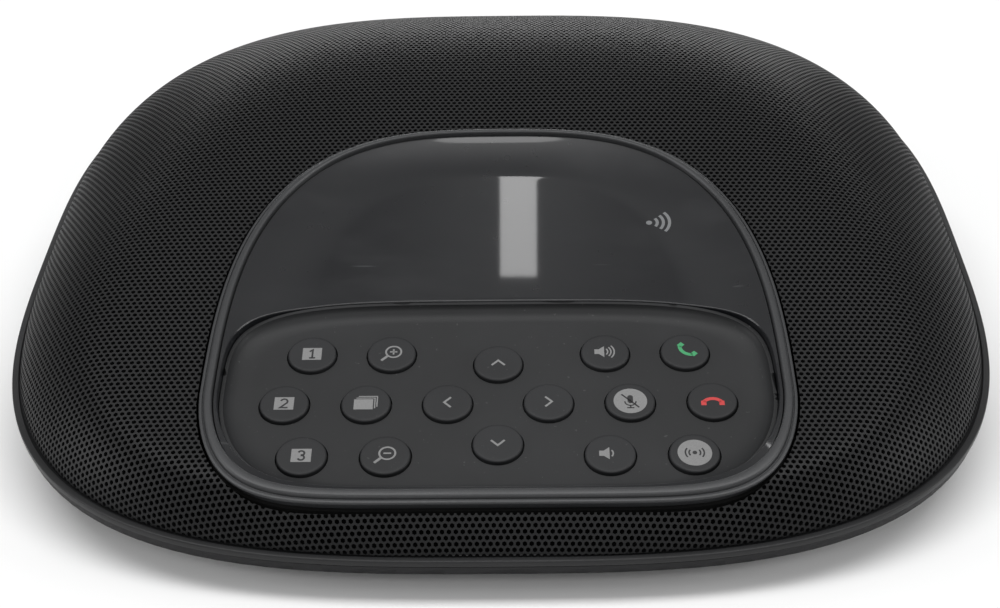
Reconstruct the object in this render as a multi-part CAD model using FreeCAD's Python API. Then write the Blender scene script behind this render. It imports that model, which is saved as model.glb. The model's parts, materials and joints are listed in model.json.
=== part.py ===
import FreeCAD, Part
import math
import os
from FreeCAD import Placement, Rotation, Vector

"""Conference speakerphone: a rounded-square table unit with a perforated steel top,
a sunk keypad under a display window, a loudspeaker behind it and four microphones.

Two local frames are used. The disc frame lies in the plane of the rim, which leans
towards the user. The console frame lies in the plane of the keypad and the window.
All lengths are in millimetres and all angles in degrees.
"""

# Whole body
BODY_HALF = 120.0           # half the width and depth across the rim
BODY_POWER = 3.07           # squareness of the rounded-square outline
BODY_TILT = 6.5             # lean of the rim plane, front edge low
RIM_HEIGHT = 23.55          # height of the rim plane above the table at the centre
OUTLINE_POINTS = 36

# Domed steel grille
GRILLE_HALF = 118.1
DOME_RISE = 38.0
DOME_POWER = 2.97
DOME_ROOT = 1.449
DOME_SECTIONS = 10
DOME_LAST_ANGLE = 84.0
GRILLE_WALL = 1.0
CLOTH_GAP = 1.25            # top of the cloth below the top of the grille
CLOTH_WALL = 0.4
GRILLE_OPENING = 1.2        # edges of the openings round the console, in widths of the bezel
CLOTH_OPENING = 1.5
FRONT_SLOPE = 57.0          # slope of the grille strip in front of the console
FRONT_SLOPE_LEAD = 0.3      # how far in front of the grille's edge that slope starts

# Console plane, in the disc frame
CONSOLE_TILT = 9.5
CONSOLE_Y = -110.0
CONSOLE_H = 10.0

# Console outline: a long rounded D, given at the inner and outer edge of its bezel
INNER_D = {"half": 63.4, "centre": 31.4, "front": 30.4, "back": 89.5}
OUTER_D = {"half": 66.2, "centre": 30.5, "front": 33.1, "back": 92.5}
D_POWER_FRONT_X = 7.0
D_POWER_FRONT_Y = 1.9
D_POWER_BACK_X = 2.95
D_POWER_BACK_Y = 2.7
D_POINTS = 60

# Edges of the console's pieces, in widths of the bezel from its inner edge
BAND_EDGE = 0.66
GROOVE_EDGE = 0.74
WINDOW_OUTER = -0.08
WINDOW_HOLLOW_EDGE = -0.1
WINDOW_HOLLOW_LIP = -0.02
DECK_OUTER = -0.25
FRAME_OUTER = 0.9
FRAME_INNER = -0.04

# Levels along the console normal
BEZEL_TOP = 1.0
BEZEL_STEP = 0.35
BEZEL_GROOVE = 0.0
BEZEL_SKIRT = -0.45
BEZEL_BOTTOM = -2.9
WINDOW_RIM = -0.3
WINDOW_FLOOR = -2.5
WINDOW_BOTTOM = -4.4
DECK_TOP = -2.7
DECK_LAND = -4.45
DECK_FLOOR = -5.0
DECK_BOTTOM = -6.6
KEY_TOP = -4.1
KEY_FLANGE_TOP = -6.8
KEY_BOTTOM = -7.4
MAT_DOME_TOP = -7.45
MAT_TOP = -8.5
BOARD_TOP = -9.3
BOARD_BOTTOM = -10.9
FRAME_FLOOR = -11.1
FRAME_BOTTOM = -12.3

# Window: how far its turned-up edge reaches inwards, in widths of the bezel, and its curve
WINDOW_REACH = 7.0
WINDOW_CURVE = 1.6
WINDOW_SECTIONS = 8
WINDOW_GAP = 0.15           # clearance round the upstand of the dish

# Sunk keypad, a rounded dish
DISH_CENTRE = 31.0
DISH_HALF = 62.2
DISH_FRONT = 28.2
DISH_BACK = 30.25
DISH_POWERS_FRONT = (6.2, 1.8)
DISH_POWERS_BACK = (4.2, 4.2)
DISH_EDGE = 0.8             # width of the upstand round the dish
DISH_RUN_SIDE = 6.0         # horizontal run of the hollow from edge to floor
DISH_RUN_FRONT = 3.4
DISH_RUN_BACK = 3.75
DISH_SECTIONS = 6
DECK_BACK_MARGIN = 1.5      # how far the deck runs on behind the dish, under the window

# Keys
KEY_RADIUS = 5.55
KEY_GAP = 0.3
KEY_FLANGE_RADIUS = 6.5
KEY_EDGE = 0.45

# Key mat, snap domes and keypad board
MAT_MARGIN = 1.6            # how far the mat and the board stay inside the dish's edge
BOARD_MARGIN = 1.2
MAT_DOME_RADII = (4.8, 3.4)
MAT_HOLLOW_RADIUS = 3.3
MAT_SKIN = 0.25
SNAP_RADII = (3.0, 2.0)
SNAP_HEIGHT = 0.35

# Display module and contactless antenna: corners in the console frame
DISPLAY_BOX = ((-44.0, 65.0, -8.2), (44.0, 106.0, -4.8))
ANTENNA_SHEET = ((-26.0, 70.0, -9.2), (26.0, 102.0, -8.9))
ANTENNA_TOP = -8.65
ANTENNA_MARGIN = 2.0        # from the sheet's edge to the first turn
ANTENNA_TURNS = 3
ANTENNA_STEP = 1.6
ANTENNA_TRACK = 0.8

# Key places: x and the distance up the console
KEY_ROW_V = (45.9, 30.35, 14.8)
KEY_STEP_V = 12.25          # up and down keys from the middle row
KEYS = {
    "key_one": (-42.8, KEY_ROW_V[0]),
    "key_zoom_in": (-24.5, KEY_ROW_V[0]),
    "key_volume_up": (24.5, KEY_ROW_V[0]),
    "key_answer": (42.8, KEY_ROW_V[0]),
    "key_two": (-47.9, KEY_ROW_V[1]),
    "key_pages": (-29.55, KEY_ROW_V[1]),
    "key_left": (-11.3, KEY_ROW_V[1]),
    "key_right": (11.3, KEY_ROW_V[1]),
    "key_mute": (29.55, KEY_ROW_V[1]),
    "key_hang_up": (47.9, KEY_ROW_V[1]),
    "key_up": (0.0, KEY_ROW_V[1] + KEY_STEP_V),
    "key_down": (0.0, KEY_ROW_V[1] - KEY_STEP_V),
    "key_three": (-42.8, KEY_ROW_V[2]),
    "key_zoom_out": (-24.5, KEY_ROW_V[2]),
    "key_volume_down": (24.5, KEY_ROW_V[2]),
    "key_wireless": (42.8, KEY_ROW_V[2]),
}

# Trim ring and lower housing, levels in the disc frame
TRIM_INNER = 115.6
TRIM_TONGUE = 118.7
TRIM_DEPTH = 1.7
TRIM_EDGE = 0.5
LIP_TOP = -2.2
LIP_BOTTOM = -4.1
LIP_HALF = 119.3
SHELL_TOP_HALF = 118.2
SHELL_WALL = 2.4
SHELL_GAP = 0.3             # clearance between the housing's inside and the chassis
BASE_HALF = 94.0
BASE_Z = 1.0
FOOT_OUTER = 90.0
FOOT_INNER = 82.0
FOOT_TOP = 2.0

# Chassis plate
PLATE_HALF = 114.6
PLATE_TOP = -3.1
PLATE_BOTTOM = -4.7
POST_RADIUS = 4.0
RIM_WALL = 2.0
RIM_CLEARANCE = 0.2
RIM_WALL_HEIGHT = 3.4
MIC_POST_RADIUS = 5.0
CHAMBER_CLEARANCE = 0.3
POSTS = ((-40.0, -84.0), (40.0, -84.0), (-46.0, -36.0), (46.0, -36.0), (-30.0, -8.0), (30.0, -8.0))

# Screws
SCREW_RADIUS = 1.5
SCREW_HEAD_RADIUS = 2.9
SCREW_HEAD_Z = (2.0, 4.0)
SCREW_HEAD_CLEARANCE = 0.4
SCREW_CLEARANCE = 0.2
DRIVE_RADIUS = 1.3
DRIVE_DEPTH = 1.2
BOSS_RADIUS = 4.6
SCREW_PLACES = ((-72.0, -46.0), (72.0, -46.0), (-72.0, 46.0), (72.0, 46.0),
                (-42.0, -74.0), (42.0, -74.0), (-45.0, 71.0), (45.0, 71.0))

# Loudspeaker, standing in its own chamber, heights below the face of its flange
SPEAKER_Y = 55.0
SPEAKER_H = 20.0
CHAMBER_RADIUS = 40.0
CHAMBER_WALL = 1.8
CHAMBER_DEPTH = 26.2
FLANGE_DEPTH = 1.5
SPEAKER_SCREW_CIRCLE = 36.2
SPEAKER_PILOT_RADIUS = 1.1
SPEAKER_HOLE_RADIUS = 1.4
SPEAKER_SCREW_HEAD = (2.3, 1.3)
SPEAKER_SCREW_LENGTH = 8.5
PILLAR_RADIUS = 2.6
PILLAR_DEPTH = 16.0
BASKET_PROFILE = ((31.05, 0), (39.0, 0), (39.0, -1.5), (33.0, -1.5), (21.0, -14.0), (21.0, -15.5),
                  (14.0, -15.5), (14.0, -14.5), (19.8, -14.5), (19.8, -13.4), (30.25, -2.4), (31.05, -2.4))
BASKET_WINDOWS = 6
BASKET_WINDOW = ((20.5, -6.0, -12.5), (40.0, 6.0, -4.5))
TOP_PLATE = (17.5, 8.6, -18.5, -15.5)       # outer and inner radius, bottom and top
MAGNET = (18.5, 10.0, -22.4, -18.5)
POLE_PROFILE = ((0, -15.5), (7.4, -15.5), (7.4, -22.4), (17.5, -22.4), (17.5, -24.2), (0, -24.2))
VOICE_COIL = (8.15, 7.75, -19.8, -11.4)
CONE_PROFILE = ((8.15, -12.2), (8.15, -11.6), (25.4, -2.4), (26.6, -2.4), (26.6, -3.0), (25.6, -3.0))
CAP_RADII = (15.0, 14.5)
CAP_CENTRE = -19.6
CAP_EDGE = (10.4, -8.9)
ROLL_LEVEL = -2.4
ROLL_RADIUS = 28.8
ROLL_OUTER = 2.2
ROLL_INNER = 1.7
SPIDER_INNER = 8.2
SPIDER_WIDTH = 11.4
SPIDER_FOLDS = 12
SPIDER_LEVEL = -12.9
SPIDER_WAVE = 0.35
SPIDER_WALL = 0.3
GASKET = (39.0, 31.2, 0.0, 0.8)
GASKET_NOTCH_RADIUS = 3.0

# Microphones: x, y and the height of the top of the boot, in the disc frame
MICROPHONES = {
    "rear_left": (-80.0, 56.0, 19.0),
    "rear_right": (80.0, 56.0, 19.0),
    "front_left": (-82.0, -60.0, 13.0),
    "front_right": (82.0, -60.0, 13.0),
}
MIC_RADIUS = 4.85
MIC_SUNK = 0.6              # top of the capsule below the top of its boot
MIC_HEIGHT = 4.5
BOOT_RADIUS = 7.0
BOOT_HEIGHT = 6.5

# Boards, upright in the housing
MAIN_BOARD = (120.0, 88.0, 1.6)
MAIN_BOARD_AT = (-60.0, -66.0, 7.6)
MAIN_BOARD_HOLES = ((-54.0, -60.0), (54.0, -60.0), (-54.0, 16.0), (54.0, 16.0))
BOARD_HOLE_RADIUS = 1.6
BOARD_SCREW_RADIUS = 1.2
BOARD_SCREW_HEAD = (2.4, 1.6)
BOARD_SCREW_REACH = 3.5
STANDOFF_RADIUS = 3.2
SHIELD = (-16.0, -40.0, 32.0, 28.0, 2.6)        # x, y, width, depth and height on the board
SHIELD_EDGE = 0.6
RADIO_BOARD = (28.0, -36.0, 16.0, 22.0, 0.8)
RADIO_CAN = (29.0, -30.0, 14.0, 15.0, 1.6)
CAPACITOR = (4.0, 8.5)
CAPACITOR_X = (-38.0, -27.0, 27.0, 38.0)
CAPACITOR_Y = 6.0

# Rear bay with its sockets
BAY_HALF = 32.0
BAY_Z = (7.0, 23.0)
BAY_Y = 84.0
BAY_WALL = 2.2
SOCKET_BODY = (60.0, 18.0, 15.0)
SOCKETS = {"main": (0.0, 11.8, 8.4), "left": (-19.0, 7.9, 6.8), "right": (19.0, 7.9, 6.8)}
SOCKET_FLOOR_Z = 10.0
SOCKET_DEPTH = 14.0
SOCKET_RIM = 1.5
SOCKET_LIFT = 0.5           # socket block above the floor of the bay
CONTACT_COUNTS = {"main": 8, "left": 4, "right": 4}
CONTACT_PITCH = 1.02
CONTACT_WIDTH = 0.4
CONTACT_HEIGHT = 0.9
CONTACT_Y = (10.5, 2.5)     # depths behind the face of the block
SOCKET_BOARD_HALF = 31.0
SOCKET_BOARD_WALL = 1.6
SOCKET_BOARD_Y = (20.0, 1.0)

# Tools that cut right through
BIG = 400.0
DEEP = 20.0
TALL = 60.0
REAR = 140.0

DISC = Placement(Vector(0, 0, RIM_HEIGHT), Rotation(Vector(1, 0, 0), BODY_TILT))
CONSOLE = DISC.multiply(Placement(Vector(0, CONSOLE_Y, CONSOLE_H), Rotation(Vector(1, 0, 0), CONSOLE_TILT)))


def placed(shape, frame):
    """The shape, drawn in a local frame, moved into the body's own frame."""
    result = shape.copy()
    result.Placement = frame.multiply(result.Placement)
    return result


def edge_scale(across, along, power_x, power_y):
    """The factor k at which |k.across|^power_x + |k.along|^power_y reaches 1."""
    low, high = 0.5, 2.0
    for _ in range(50):
        middle = (low + high) / 2
        reach = abs(middle * across) ** power_x + abs(middle * along) ** power_y
        if reach < 1.0:
            low = middle
        else:
            high = middle
    return low


def rounded_points(half, centre, front, back, powers_front, powers_back, level, count):
    """Points round a superellipse whose front and back halves may differ."""
    points = []
    for index in range(count):
        angle = 2 * math.pi * index / count
        across, along = math.cos(angle), math.sin(angle)
        power_x, power_y = powers_back if along >= 0 else powers_front
        scale = edge_scale(across, along, power_x, power_y)
        depth = back if along >= 0 else front
        points.append(Vector(half * scale * across, centre + depth * scale * along, level))
    return points


def closed_wire(points):
    """A smooth closed curve through the points."""
    curve = Part.BSplineCurve()
    curve.interpolate(Points=points, PeriodicFlag=True)
    return Part.Wire([curve.toShape()])


def body_wire(half, level=0.0):
    """The rounded-square outline of the body at one level."""
    powers = (BODY_POWER, BODY_POWER)
    return closed_wire(rounded_points(half, 0, half, half, powers, powers, level, OUTLINE_POINTS))


def console_wire(place, level=0.0):
    """The console outline: place 0 is the inner edge of the bezel and 1 its outer edge."""
    size = {key: INNER_D[key] + place * (OUTER_D[key] - INNER_D[key]) for key in INNER_D}
    front = (D_POWER_FRONT_X, D_POWER_FRONT_Y)
    back = (D_POWER_BACK_X, D_POWER_BACK_Y)
    return closed_wire(rounded_points(size["half"], size["centre"], size["front"], size["back"],
                                      front, back, level, D_POINTS))


def dish_wire(run, level, grow=0.0):
    """The outline of the sunk keypad: run 0 is its top edge and 1 the edge of its floor."""
    return closed_wire(rounded_points(DISH_HALF + grow - run * DISH_RUN_SIDE, DISH_CENTRE,
                                      DISH_FRONT + grow - run * DISH_RUN_FRONT,
                                      DISH_BACK + grow - run * DISH_RUN_BACK,
                                      DISH_POWERS_FRONT, DISH_POWERS_BACK, level, D_POINTS))


def loft(wires, ruled=False):
    return Part.makeLoft(wires, True, ruled)


def prism(wire, height):
    """The area inside a flat wire, raised along Z."""
    return Part.Face(wire).extrude(Vector(0, 0, height))


def box(low, high):
    return Part.makeBox(high[0] - low[0], high[1] - low[1], high[2] - low[2], Vector(*low))


def cylinder(radius, low, high, x=0.0, y=0.0):
    return Part.makeCylinder(radius, high - low, Vector(x, y, low))


def ring(outer, inner, low, high, x=0.0, y=0.0):
    return cylinder(outer, low, high, x, y).cut(cylinder(inner, low - 1, high + 1, x, y))


def turned(profile):
    """A solid turned about Z from a closed profile of (radius, height) pairs."""
    points = [Vector(radius, 0, height) for radius, height in profile]
    wire = Part.makePolygon(points + points[:1])
    return Part.Face(wire).revolve(Vector(0, 0, 0), Vector(0, 0, 1), 360)


def under(frame, level):
    """Everything below a level of a local frame."""
    return placed(box((-BIG, -BIG, -BIG), (BIG, BIG, level)), frame)


CONSOLE_IN_DISC = DISC.inverse().multiply(CONSOLE)
FRONT_IN_DISC = Placement(Vector(0, -GRILLE_HALF - FRONT_SLOPE_LEAD, 0),
                          Rotation(Vector(1, 0, 0), FRONT_SLOPE))


# Top: grille, cloth, trim

def dome(inset):
    """The domed solid, inset evenly, with its flat console side and its front slope."""
    wires = []
    for index in range(DOME_SECTIONS):
        angle = math.radians(DOME_LAST_ANGLE * index / (DOME_SECTIONS - 1))
        reach = math.cos(angle) ** (2 / DOME_POWER)
        height = (DOME_RISE - inset) * math.sin(angle) ** (2 / DOME_ROOT)
        wires.append(body_wire((GRILLE_HALF - inset) * reach, height))
    solid = loft(wires)
    solid = solid.common(under(CONSOLE_IN_DISC, -inset))
    return solid.common(under(FRONT_IN_DISC, -inset))


def console_opening(place):
    """A tool that clears the console outline right through the top."""
    return placed(prism(console_wire(place, -TALL / 2), TALL), CONSOLE_IN_DISC)


def grille():
    shell = dome(0.0).cut(dome(GRILLE_WALL))
    return placed(shell.cut(console_opening(GRILLE_OPENING)), DISC)


def acoustic_cloth():
    shell = dome(CLOTH_GAP).cut(dome(CLOTH_GAP + CLOTH_WALL))
    return placed(shell.cut(console_opening(CLOTH_OPENING)), DISC)


def trim_ring():
    """The band that shows round the foot of the grille, with a tongue below it."""
    band = prism(body_wire(BODY_HALF, -TRIM_DEPTH), TRIM_DEPTH)
    band = band.makeFillet(TRIM_EDGE, [edge for edge in band.Edges if edge.BoundBox.ZMin > -0.01])
    tongue = prism(body_wire(TRIM_TONGUE, LIP_TOP), -LIP_TOP - TRIM_DEPTH)
    hollow = prism(body_wire(TRIM_INNER, -DEEP / 2), DEEP)
    return placed(band.fuse(tongue).cut(hollow), DISC)


# Lower housing

def tilted_body_wire(half, level):
    wire = body_wire(half, level)
    return placed(wire, DISC)


def housing_side(inset, top_level):
    """The tapering side of the housing, from the rim down to its flat base."""
    base = BASE_Z + (SHELL_WALL if inset else 0.0)
    rim = tilted_body_wire(SHELL_TOP_HALF - inset, top_level)
    return loft([body_wire(BASE_HALF - inset, base), rim], True)


def housing_outer():
    """The outside of the housing: the tapering side and the lip at its top."""
    lip = placed(prism(body_wire(LIP_HALF, LIP_BOTTOM), LIP_TOP - LIP_BOTTOM), DISC)
    return housing_side(0.0, LIP_BOTTOM).fuse(lip)


def housing_hollow(wall):
    return housing_side(wall, LIP_TOP + 0.5)


def screw_bosses():
    """Hollow posts from the base up to the chassis plate."""
    posts = [cylinder(BOSS_RADIUS, BASE_Z + 1, TALL, x, y) for x, y in SCREW_PLACES]
    return Part.makeCompound(posts).common(under(DISC, PLATE_BOTTOM))


def board_standoffs():
    return [cylinder(STANDOFF_RADIUS, BASE_Z + 1, MAIN_BOARD_AT[2], x, y) for x, y in MAIN_BOARD_HOLES]


def bay_outer():
    wall = BAY_WALL
    return box((-BAY_HALF - wall, BAY_Y - wall, BASE_Z), (BAY_HALF + wall, REAR, BAY_Z[1] + wall))


def bay_hollow():
    return box((-BAY_HALF, BAY_Y, BAY_Z[0]), (BAY_HALF, REAR, BAY_Z[1]))


def bay_window():
    """The hole in the bay's inner wall that the socket block looks through."""
    width, _, height = SOCKET_BODY
    low, high = BAY_Z[0] + SOCKET_RIM, BAY_Z[0] + height - SOCKET_RIM
    return box((-width / 2 + 1, BAY_Y - 5, low), (width / 2 - 1, BAY_Y + 1, high))


def socket_holes(low_y, high_y):
    """One box for each socket's mouth, between two depths."""
    return [box((x - width / 2, low_y, SOCKET_FLOOR_Z), (x + width / 2, high_y, SOCKET_FLOOR_Z + height))
            for x, width, height in SOCKETS.values()]


def lower_housing():
    outer = housing_outer()
    shell = outer.cut(housing_hollow(SHELL_WALL))
    shell = shell.fuse(bay_outer().common(outer))
    shell = shell.fuse([screw_bosses()] + board_standoffs())
    cuts = [bay_hollow(), bay_window()]
    cuts.append(foot_ring())
    for x, y in SCREW_PLACES:
        cuts.append(cylinder(SCREW_HEAD_RADIUS + SCREW_HEAD_CLEARANCE, 0.0, SCREW_HEAD_Z[1], x, y))
        cuts.append(cylinder(SCREW_RADIUS + SCREW_CLEARANCE, 0.0, TALL, x, y))
    for x, y in MAIN_BOARD_HOLES:
        cuts.append(cylinder(BOARD_SCREW_RADIUS, BASE_Z + SHELL_WALL, DEEP, x, y))
    return shell.cut(cuts)


def foot_ring():
    ring_solid = prism(body_wire(FOOT_OUTER, 0.0), FOOT_TOP)
    return ring_solid.cut(prism(body_wire(FOOT_INNER, -1.0), FOOT_TOP + 2))


def housing_screws():
    """Eight screws from below, through the bosses and into the chassis plate."""
    screws = []
    for x, y in SCREW_PLACES:
        head = cylinder(SCREW_HEAD_RADIUS, SCREW_HEAD_Z[0], SCREW_HEAD_Z[1], x, y)
        socket = cylinder(DRIVE_RADIUS, SCREW_HEAD_Z[0] - 1, SCREW_HEAD_Z[0] + DRIVE_DEPTH, x, y)
        shank = cylinder(SCREW_RADIUS, SCREW_HEAD_Z[1], TALL, x, y).common(under(DISC, PLATE_TOP))
        screws.append(head.fuse(shank).cut(socket))
    return Part.makeCompound(screws)


# Chassis

def chassis():
    """The plate that carries the console, the loudspeaker chamber and the microphones."""
    plate = prism(body_wire(PLATE_HALF, PLATE_BOTTOM), PLATE_TOP - PLATE_BOTTOM)
    posts = [cylinder(POST_RADIUS, PLATE_BOTTOM, TALL, x, y) for x, y in POSTS]
    console_side = Part.makeCompound(posts).common(under(CONSOLE_IN_DISC, FRAME_BOTTOM))
    mic_posts = [cylinder(MIC_POST_RADIUS, PLATE_BOTTOM, top - BOOT_HEIGHT, x, y)
                 for x, y, top in MICROPHONES.values()]
    solid = plate.fuse([console_side, chassis_rim()] + mic_posts)
    solid = solid.cut(cylinder(CHAMBER_RADIUS + CHAMBER_CLEARANCE, -DEEP, DEEP / 2, 0, SPEAKER_Y))
    solid = placed(solid, DISC)
    keep_out = housing_outer().cut(housing_hollow(SHELL_WALL + SHELL_GAP))
    return solid.cut([keep_out] + [cylinder(SCREW_RADIUS, 0, TALL, x, y) for x, y in SCREW_PLACES])


def chassis_rim():
    """The wall that stands on the plate and backs the edge of the grille."""
    outer = prism(body_wire(TRIM_INNER - RIM_CLEARANCE, PLATE_TOP), RIM_WALL_HEIGHT)
    inner = prism(body_wire(TRIM_INNER - RIM_CLEARANCE - RIM_WALL, PLATE_TOP - 1), RIM_WALL_HEIGHT + 2)
    return outer.cut(inner)


# Console

def console_frame():
    """The tray that holds the display, the deck and the keypad boards."""
    outer = prism(console_wire(FRAME_OUTER, FRAME_BOTTOM), BEZEL_BOTTOM - FRAME_BOTTOM)
    hollow = prism(console_wire(FRAME_INNER, FRAME_FLOOR), DEEP)
    return placed(outer.cut(hollow), CONSOLE)


def bezel_ring():
    """A raised inner band, a groove and a lower outer step."""
    band = prism(console_wire(BAND_EDGE, BEZEL_BOTTOM), BEZEL_TOP - BEZEL_BOTTOM)
    groove = prism(console_wire(GROOVE_EDGE, BEZEL_BOTTOM), BEZEL_GROOVE - BEZEL_BOTTOM)
    step = prism(console_wire(1.0, BEZEL_SKIRT), BEZEL_STEP - BEZEL_SKIRT)
    step = step.cut(prism(console_wire(GROOVE_EDGE, -DEEP / 2), DEEP))
    hollow = prism(console_wire(0.0, -DEEP / 2), DEEP)
    return placed(band.fuse([groove, step]).cut(hollow), CONSOLE)


def window_hollow():
    """The shallow hollow of the window: flat in the middle and turned up at its edge."""
    wires = []
    for index in range(WINDOW_SECTIONS):
        share = index / (WINDOW_SECTIONS - 1)
        level = WINDOW_FLOOR + (WINDOW_RIM - WINDOW_FLOOR) * share ** WINDOW_CURVE
        wires.append(console_wire(-WINDOW_REACH + (WINDOW_REACH + WINDOW_HOLLOW_EDGE) * share, level))
    wires.append(console_wire(WINDOW_HOLLOW_LIP, WINDOW_RIM + 2.0))
    return loft(wires, True)


def window():
    plate = prism(console_wire(WINDOW_OUTER, WINDOW_BOTTOM), WINDOW_RIM - WINDOW_BOTTOM)
    opening = prism(dish_wire(0, -DEEP / 2, WINDOW_GAP), DEEP)
    return placed(plate.cut(window_hollow()).cut(opening), CONSOLE)


def dish_hollow():
    """The hollow over the keys: steep at its edge and running smoothly into the floor."""
    wires = [dish_wire(0, DECK_TOP + 1.0, -DISH_EDGE)]
    for index in range(DISH_SECTIONS):
        angle = math.pi / 2 * index / (DISH_SECTIONS - 1)
        level = DECK_TOP - (DECK_TOP - DECK_FLOOR) * math.sin(angle)
        wires.append(dish_wire(1 - math.cos(angle), level, -DISH_EDGE))
    return loft(wires, True)


def keypad_deck():
    """The sunk deck with a round hole for each key."""
    plate = prism(console_wire(DECK_OUTER, DECK_BOTTOM), DECK_LAND - DECK_BOTTOM)
    plate = plate.common(box((-BIG, -BIG, -DEEP), (BIG, DISH_CENTRE + DISH_BACK + DECK_BACK_MARGIN, DEEP)))
    upstand = prism(dish_wire(0, DECK_BOTTOM), DECK_TOP - DECK_BOTTOM)
    holes = [cylinder(KEY_RADIUS + KEY_GAP, -DEEP, 0, x, v) for x, v in KEYS.values()]
    return placed(plate.fuse(upstand).cut([dish_hollow()] + holes), CONSOLE)


def key(x, v):
    """A round key cap with a flange that stops it under the deck."""
    cap = cylinder(KEY_RADIUS, KEY_FLANGE_TOP, KEY_TOP, x, v)
    top_edges = [edge for edge in cap.Edges if edge.BoundBox.ZMin > KEY_TOP - 0.01]
    cap = cap.makeFillet(KEY_EDGE, top_edges)
    return placed(cap.fuse(cylinder(KEY_FLANGE_RADIUS, KEY_BOTTOM, KEY_FLANGE_TOP, x, v)), CONSOLE)


def mat_dome(x, v):
    """One raised dome of the silicone mat, hollow below."""
    dome_solid = Part.makeCone(*MAT_DOME_RADII, MAT_DOME_TOP - MAT_TOP, Vector(x, v, MAT_TOP))
    return dome_solid, cylinder(MAT_HOLLOW_RADIUS, BOARD_TOP - 1, MAT_TOP - MAT_SKIN, x, v)


def keypad_mat():
    sheet = prism(dish_wire(0, BOARD_TOP, -MAT_MARGIN), MAT_TOP - BOARD_TOP)
    domes = [mat_dome(x, v) for x, v in KEYS.values()]
    solid = sheet.fuse([pair[0] for pair in domes])
    return placed(solid.cut([pair[1] for pair in domes]), CONSOLE)


def keypad_board():
    return placed(prism(dish_wire(0, BOARD_BOTTOM, -BOARD_MARGIN), BOARD_TOP - BOARD_BOTTOM), CONSOLE)


def switch_domes():
    """The snap domes under the keys, one shallow disc each."""
    discs = [Part.makeCone(*SNAP_RADII, SNAP_HEIGHT, Vector(x, v, BOARD_TOP)) for x, v in KEYS.values()]
    return placed(Part.makeCompound(discs), CONSOLE)


def display_module():
    return placed(box(*DISPLAY_BOX), CONSOLE)


def contactless_antenna():
    """A flat coil of square turns on its own thin sheet, behind the display."""
    (left, front, low), (right, back, _) = ANTENNA_SHEET
    turns = []
    for index in range(ANTENNA_TURNS):
        edge = ANTENNA_MARGIN + index * ANTENNA_STEP
        inner = edge + ANTENNA_TRACK
        turn = box((left + edge, front + edge, low), (right - edge, back - edge, ANTENNA_TOP))
        turns.append(turn.cut(box((left + inner, front + inner, low - 1), (right - inner, back - inner, 0))))
    return placed(box(*ANTENNA_SHEET).fuse(turns), CONSOLE)


# Boards in the housing

def main_board():
    length, depth, thick = MAIN_BOARD
    x, y, z = MAIN_BOARD_AT
    board = box((x, y, z), (x + length, y + depth, z + thick))
    return board.cut([cylinder(BOARD_HOLE_RADIUS, 0, DEEP, hx, hy) for hx, hy in MAIN_BOARD_HOLES])


def board_top():
    return MAIN_BOARD_AT[2] + MAIN_BOARD[2]


def on_board(x, y, width, depth, height, lift=0.0):
    """A box standing on the main board."""
    z = board_top() + lift
    return box((x, y, z), (x + width, y + depth, z + height))


def processor_shield():
    can = on_board(*SHIELD)
    upper_edges = [edge for edge in can.Edges if edge.BoundBox.ZMin > board_top() + SHIELD_EDGE]
    return can.makeFillet(SHIELD_EDGE, upper_edges)


def wireless_module():
    return on_board(*RADIO_BOARD).fuse(on_board(*RADIO_CAN, lift=RADIO_BOARD[4]))


def board_capacitors():
    """Four upright can capacitors of the audio amplifier."""
    z = board_top()
    radius, height = CAPACITOR
    return Part.makeCompound([cylinder(radius, z, z + height, x, CAPACITOR_Y) for x in CAPACITOR_X])


def board_screws():
    z = board_top()
    radius, height = BOARD_SCREW_HEAD
    screws = []
    for x, y in MAIN_BOARD_HOLES:
        head = cylinder(radius, z, z + height, x, y)
        screws.append(head.fuse(cylinder(BOARD_SCREW_RADIUS, MAIN_BOARD_AT[2] - BOARD_SCREW_REACH, z, x, y)))
    return Part.makeCompound(screws)


# Sockets

def socket_block():
    """The moulded block behind the bay, with a mouth for each plug."""
    width, depth, height = SOCKET_BODY
    back = BAY_Y - BAY_WALL
    low = BAY_Z[0] + SOCKET_LIFT
    block = box((-width / 2, back - depth, low), (width / 2, back, low + height))
    return block.cut(socket_holes(back - SOCKET_DEPTH, back + 1))


def socket_contacts():
    """Thin sprung contacts along the top of each mouth."""
    pins = []
    back = BAY_Y - BAY_WALL
    for name, (x, _, height) in SOCKETS.items():
        top = SOCKET_FLOOR_Z + height
        for index in range(CONTACT_COUNTS[name]):
            left = x + (index - (CONTACT_COUNTS[name] - 1) / 2) * CONTACT_PITCH - CONTACT_WIDTH / 2
            low = (left, back - CONTACT_Y[0], top - CONTACT_HEIGHT)
            pins.append(box(low, (left + CONTACT_WIDTH, back - CONTACT_Y[1], top)))
    return Part.makeCompound(pins)


def socket_board():
    back = BAY_Y - BAY_WALL
    top = BAY_Z[0] + SOCKET_LIFT
    low = (-SOCKET_BOARD_HALF, back - SOCKET_BOARD_Y[0], top - SOCKET_BOARD_WALL)
    return box(low, (SOCKET_BOARD_HALF, back - SOCKET_BOARD_Y[1], top))


# Loudspeaker

def speaker_place():
    return DISC.multiply(Placement(Vector(0, SPEAKER_Y, SPEAKER_H), Rotation()))


def speaker_screw_places():
    turn = SPEAKER_SCREW_CIRCLE * math.sqrt(0.5)
    return ((turn, turn), (-turn, turn), (-turn, -turn), (turn, -turn))


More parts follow.
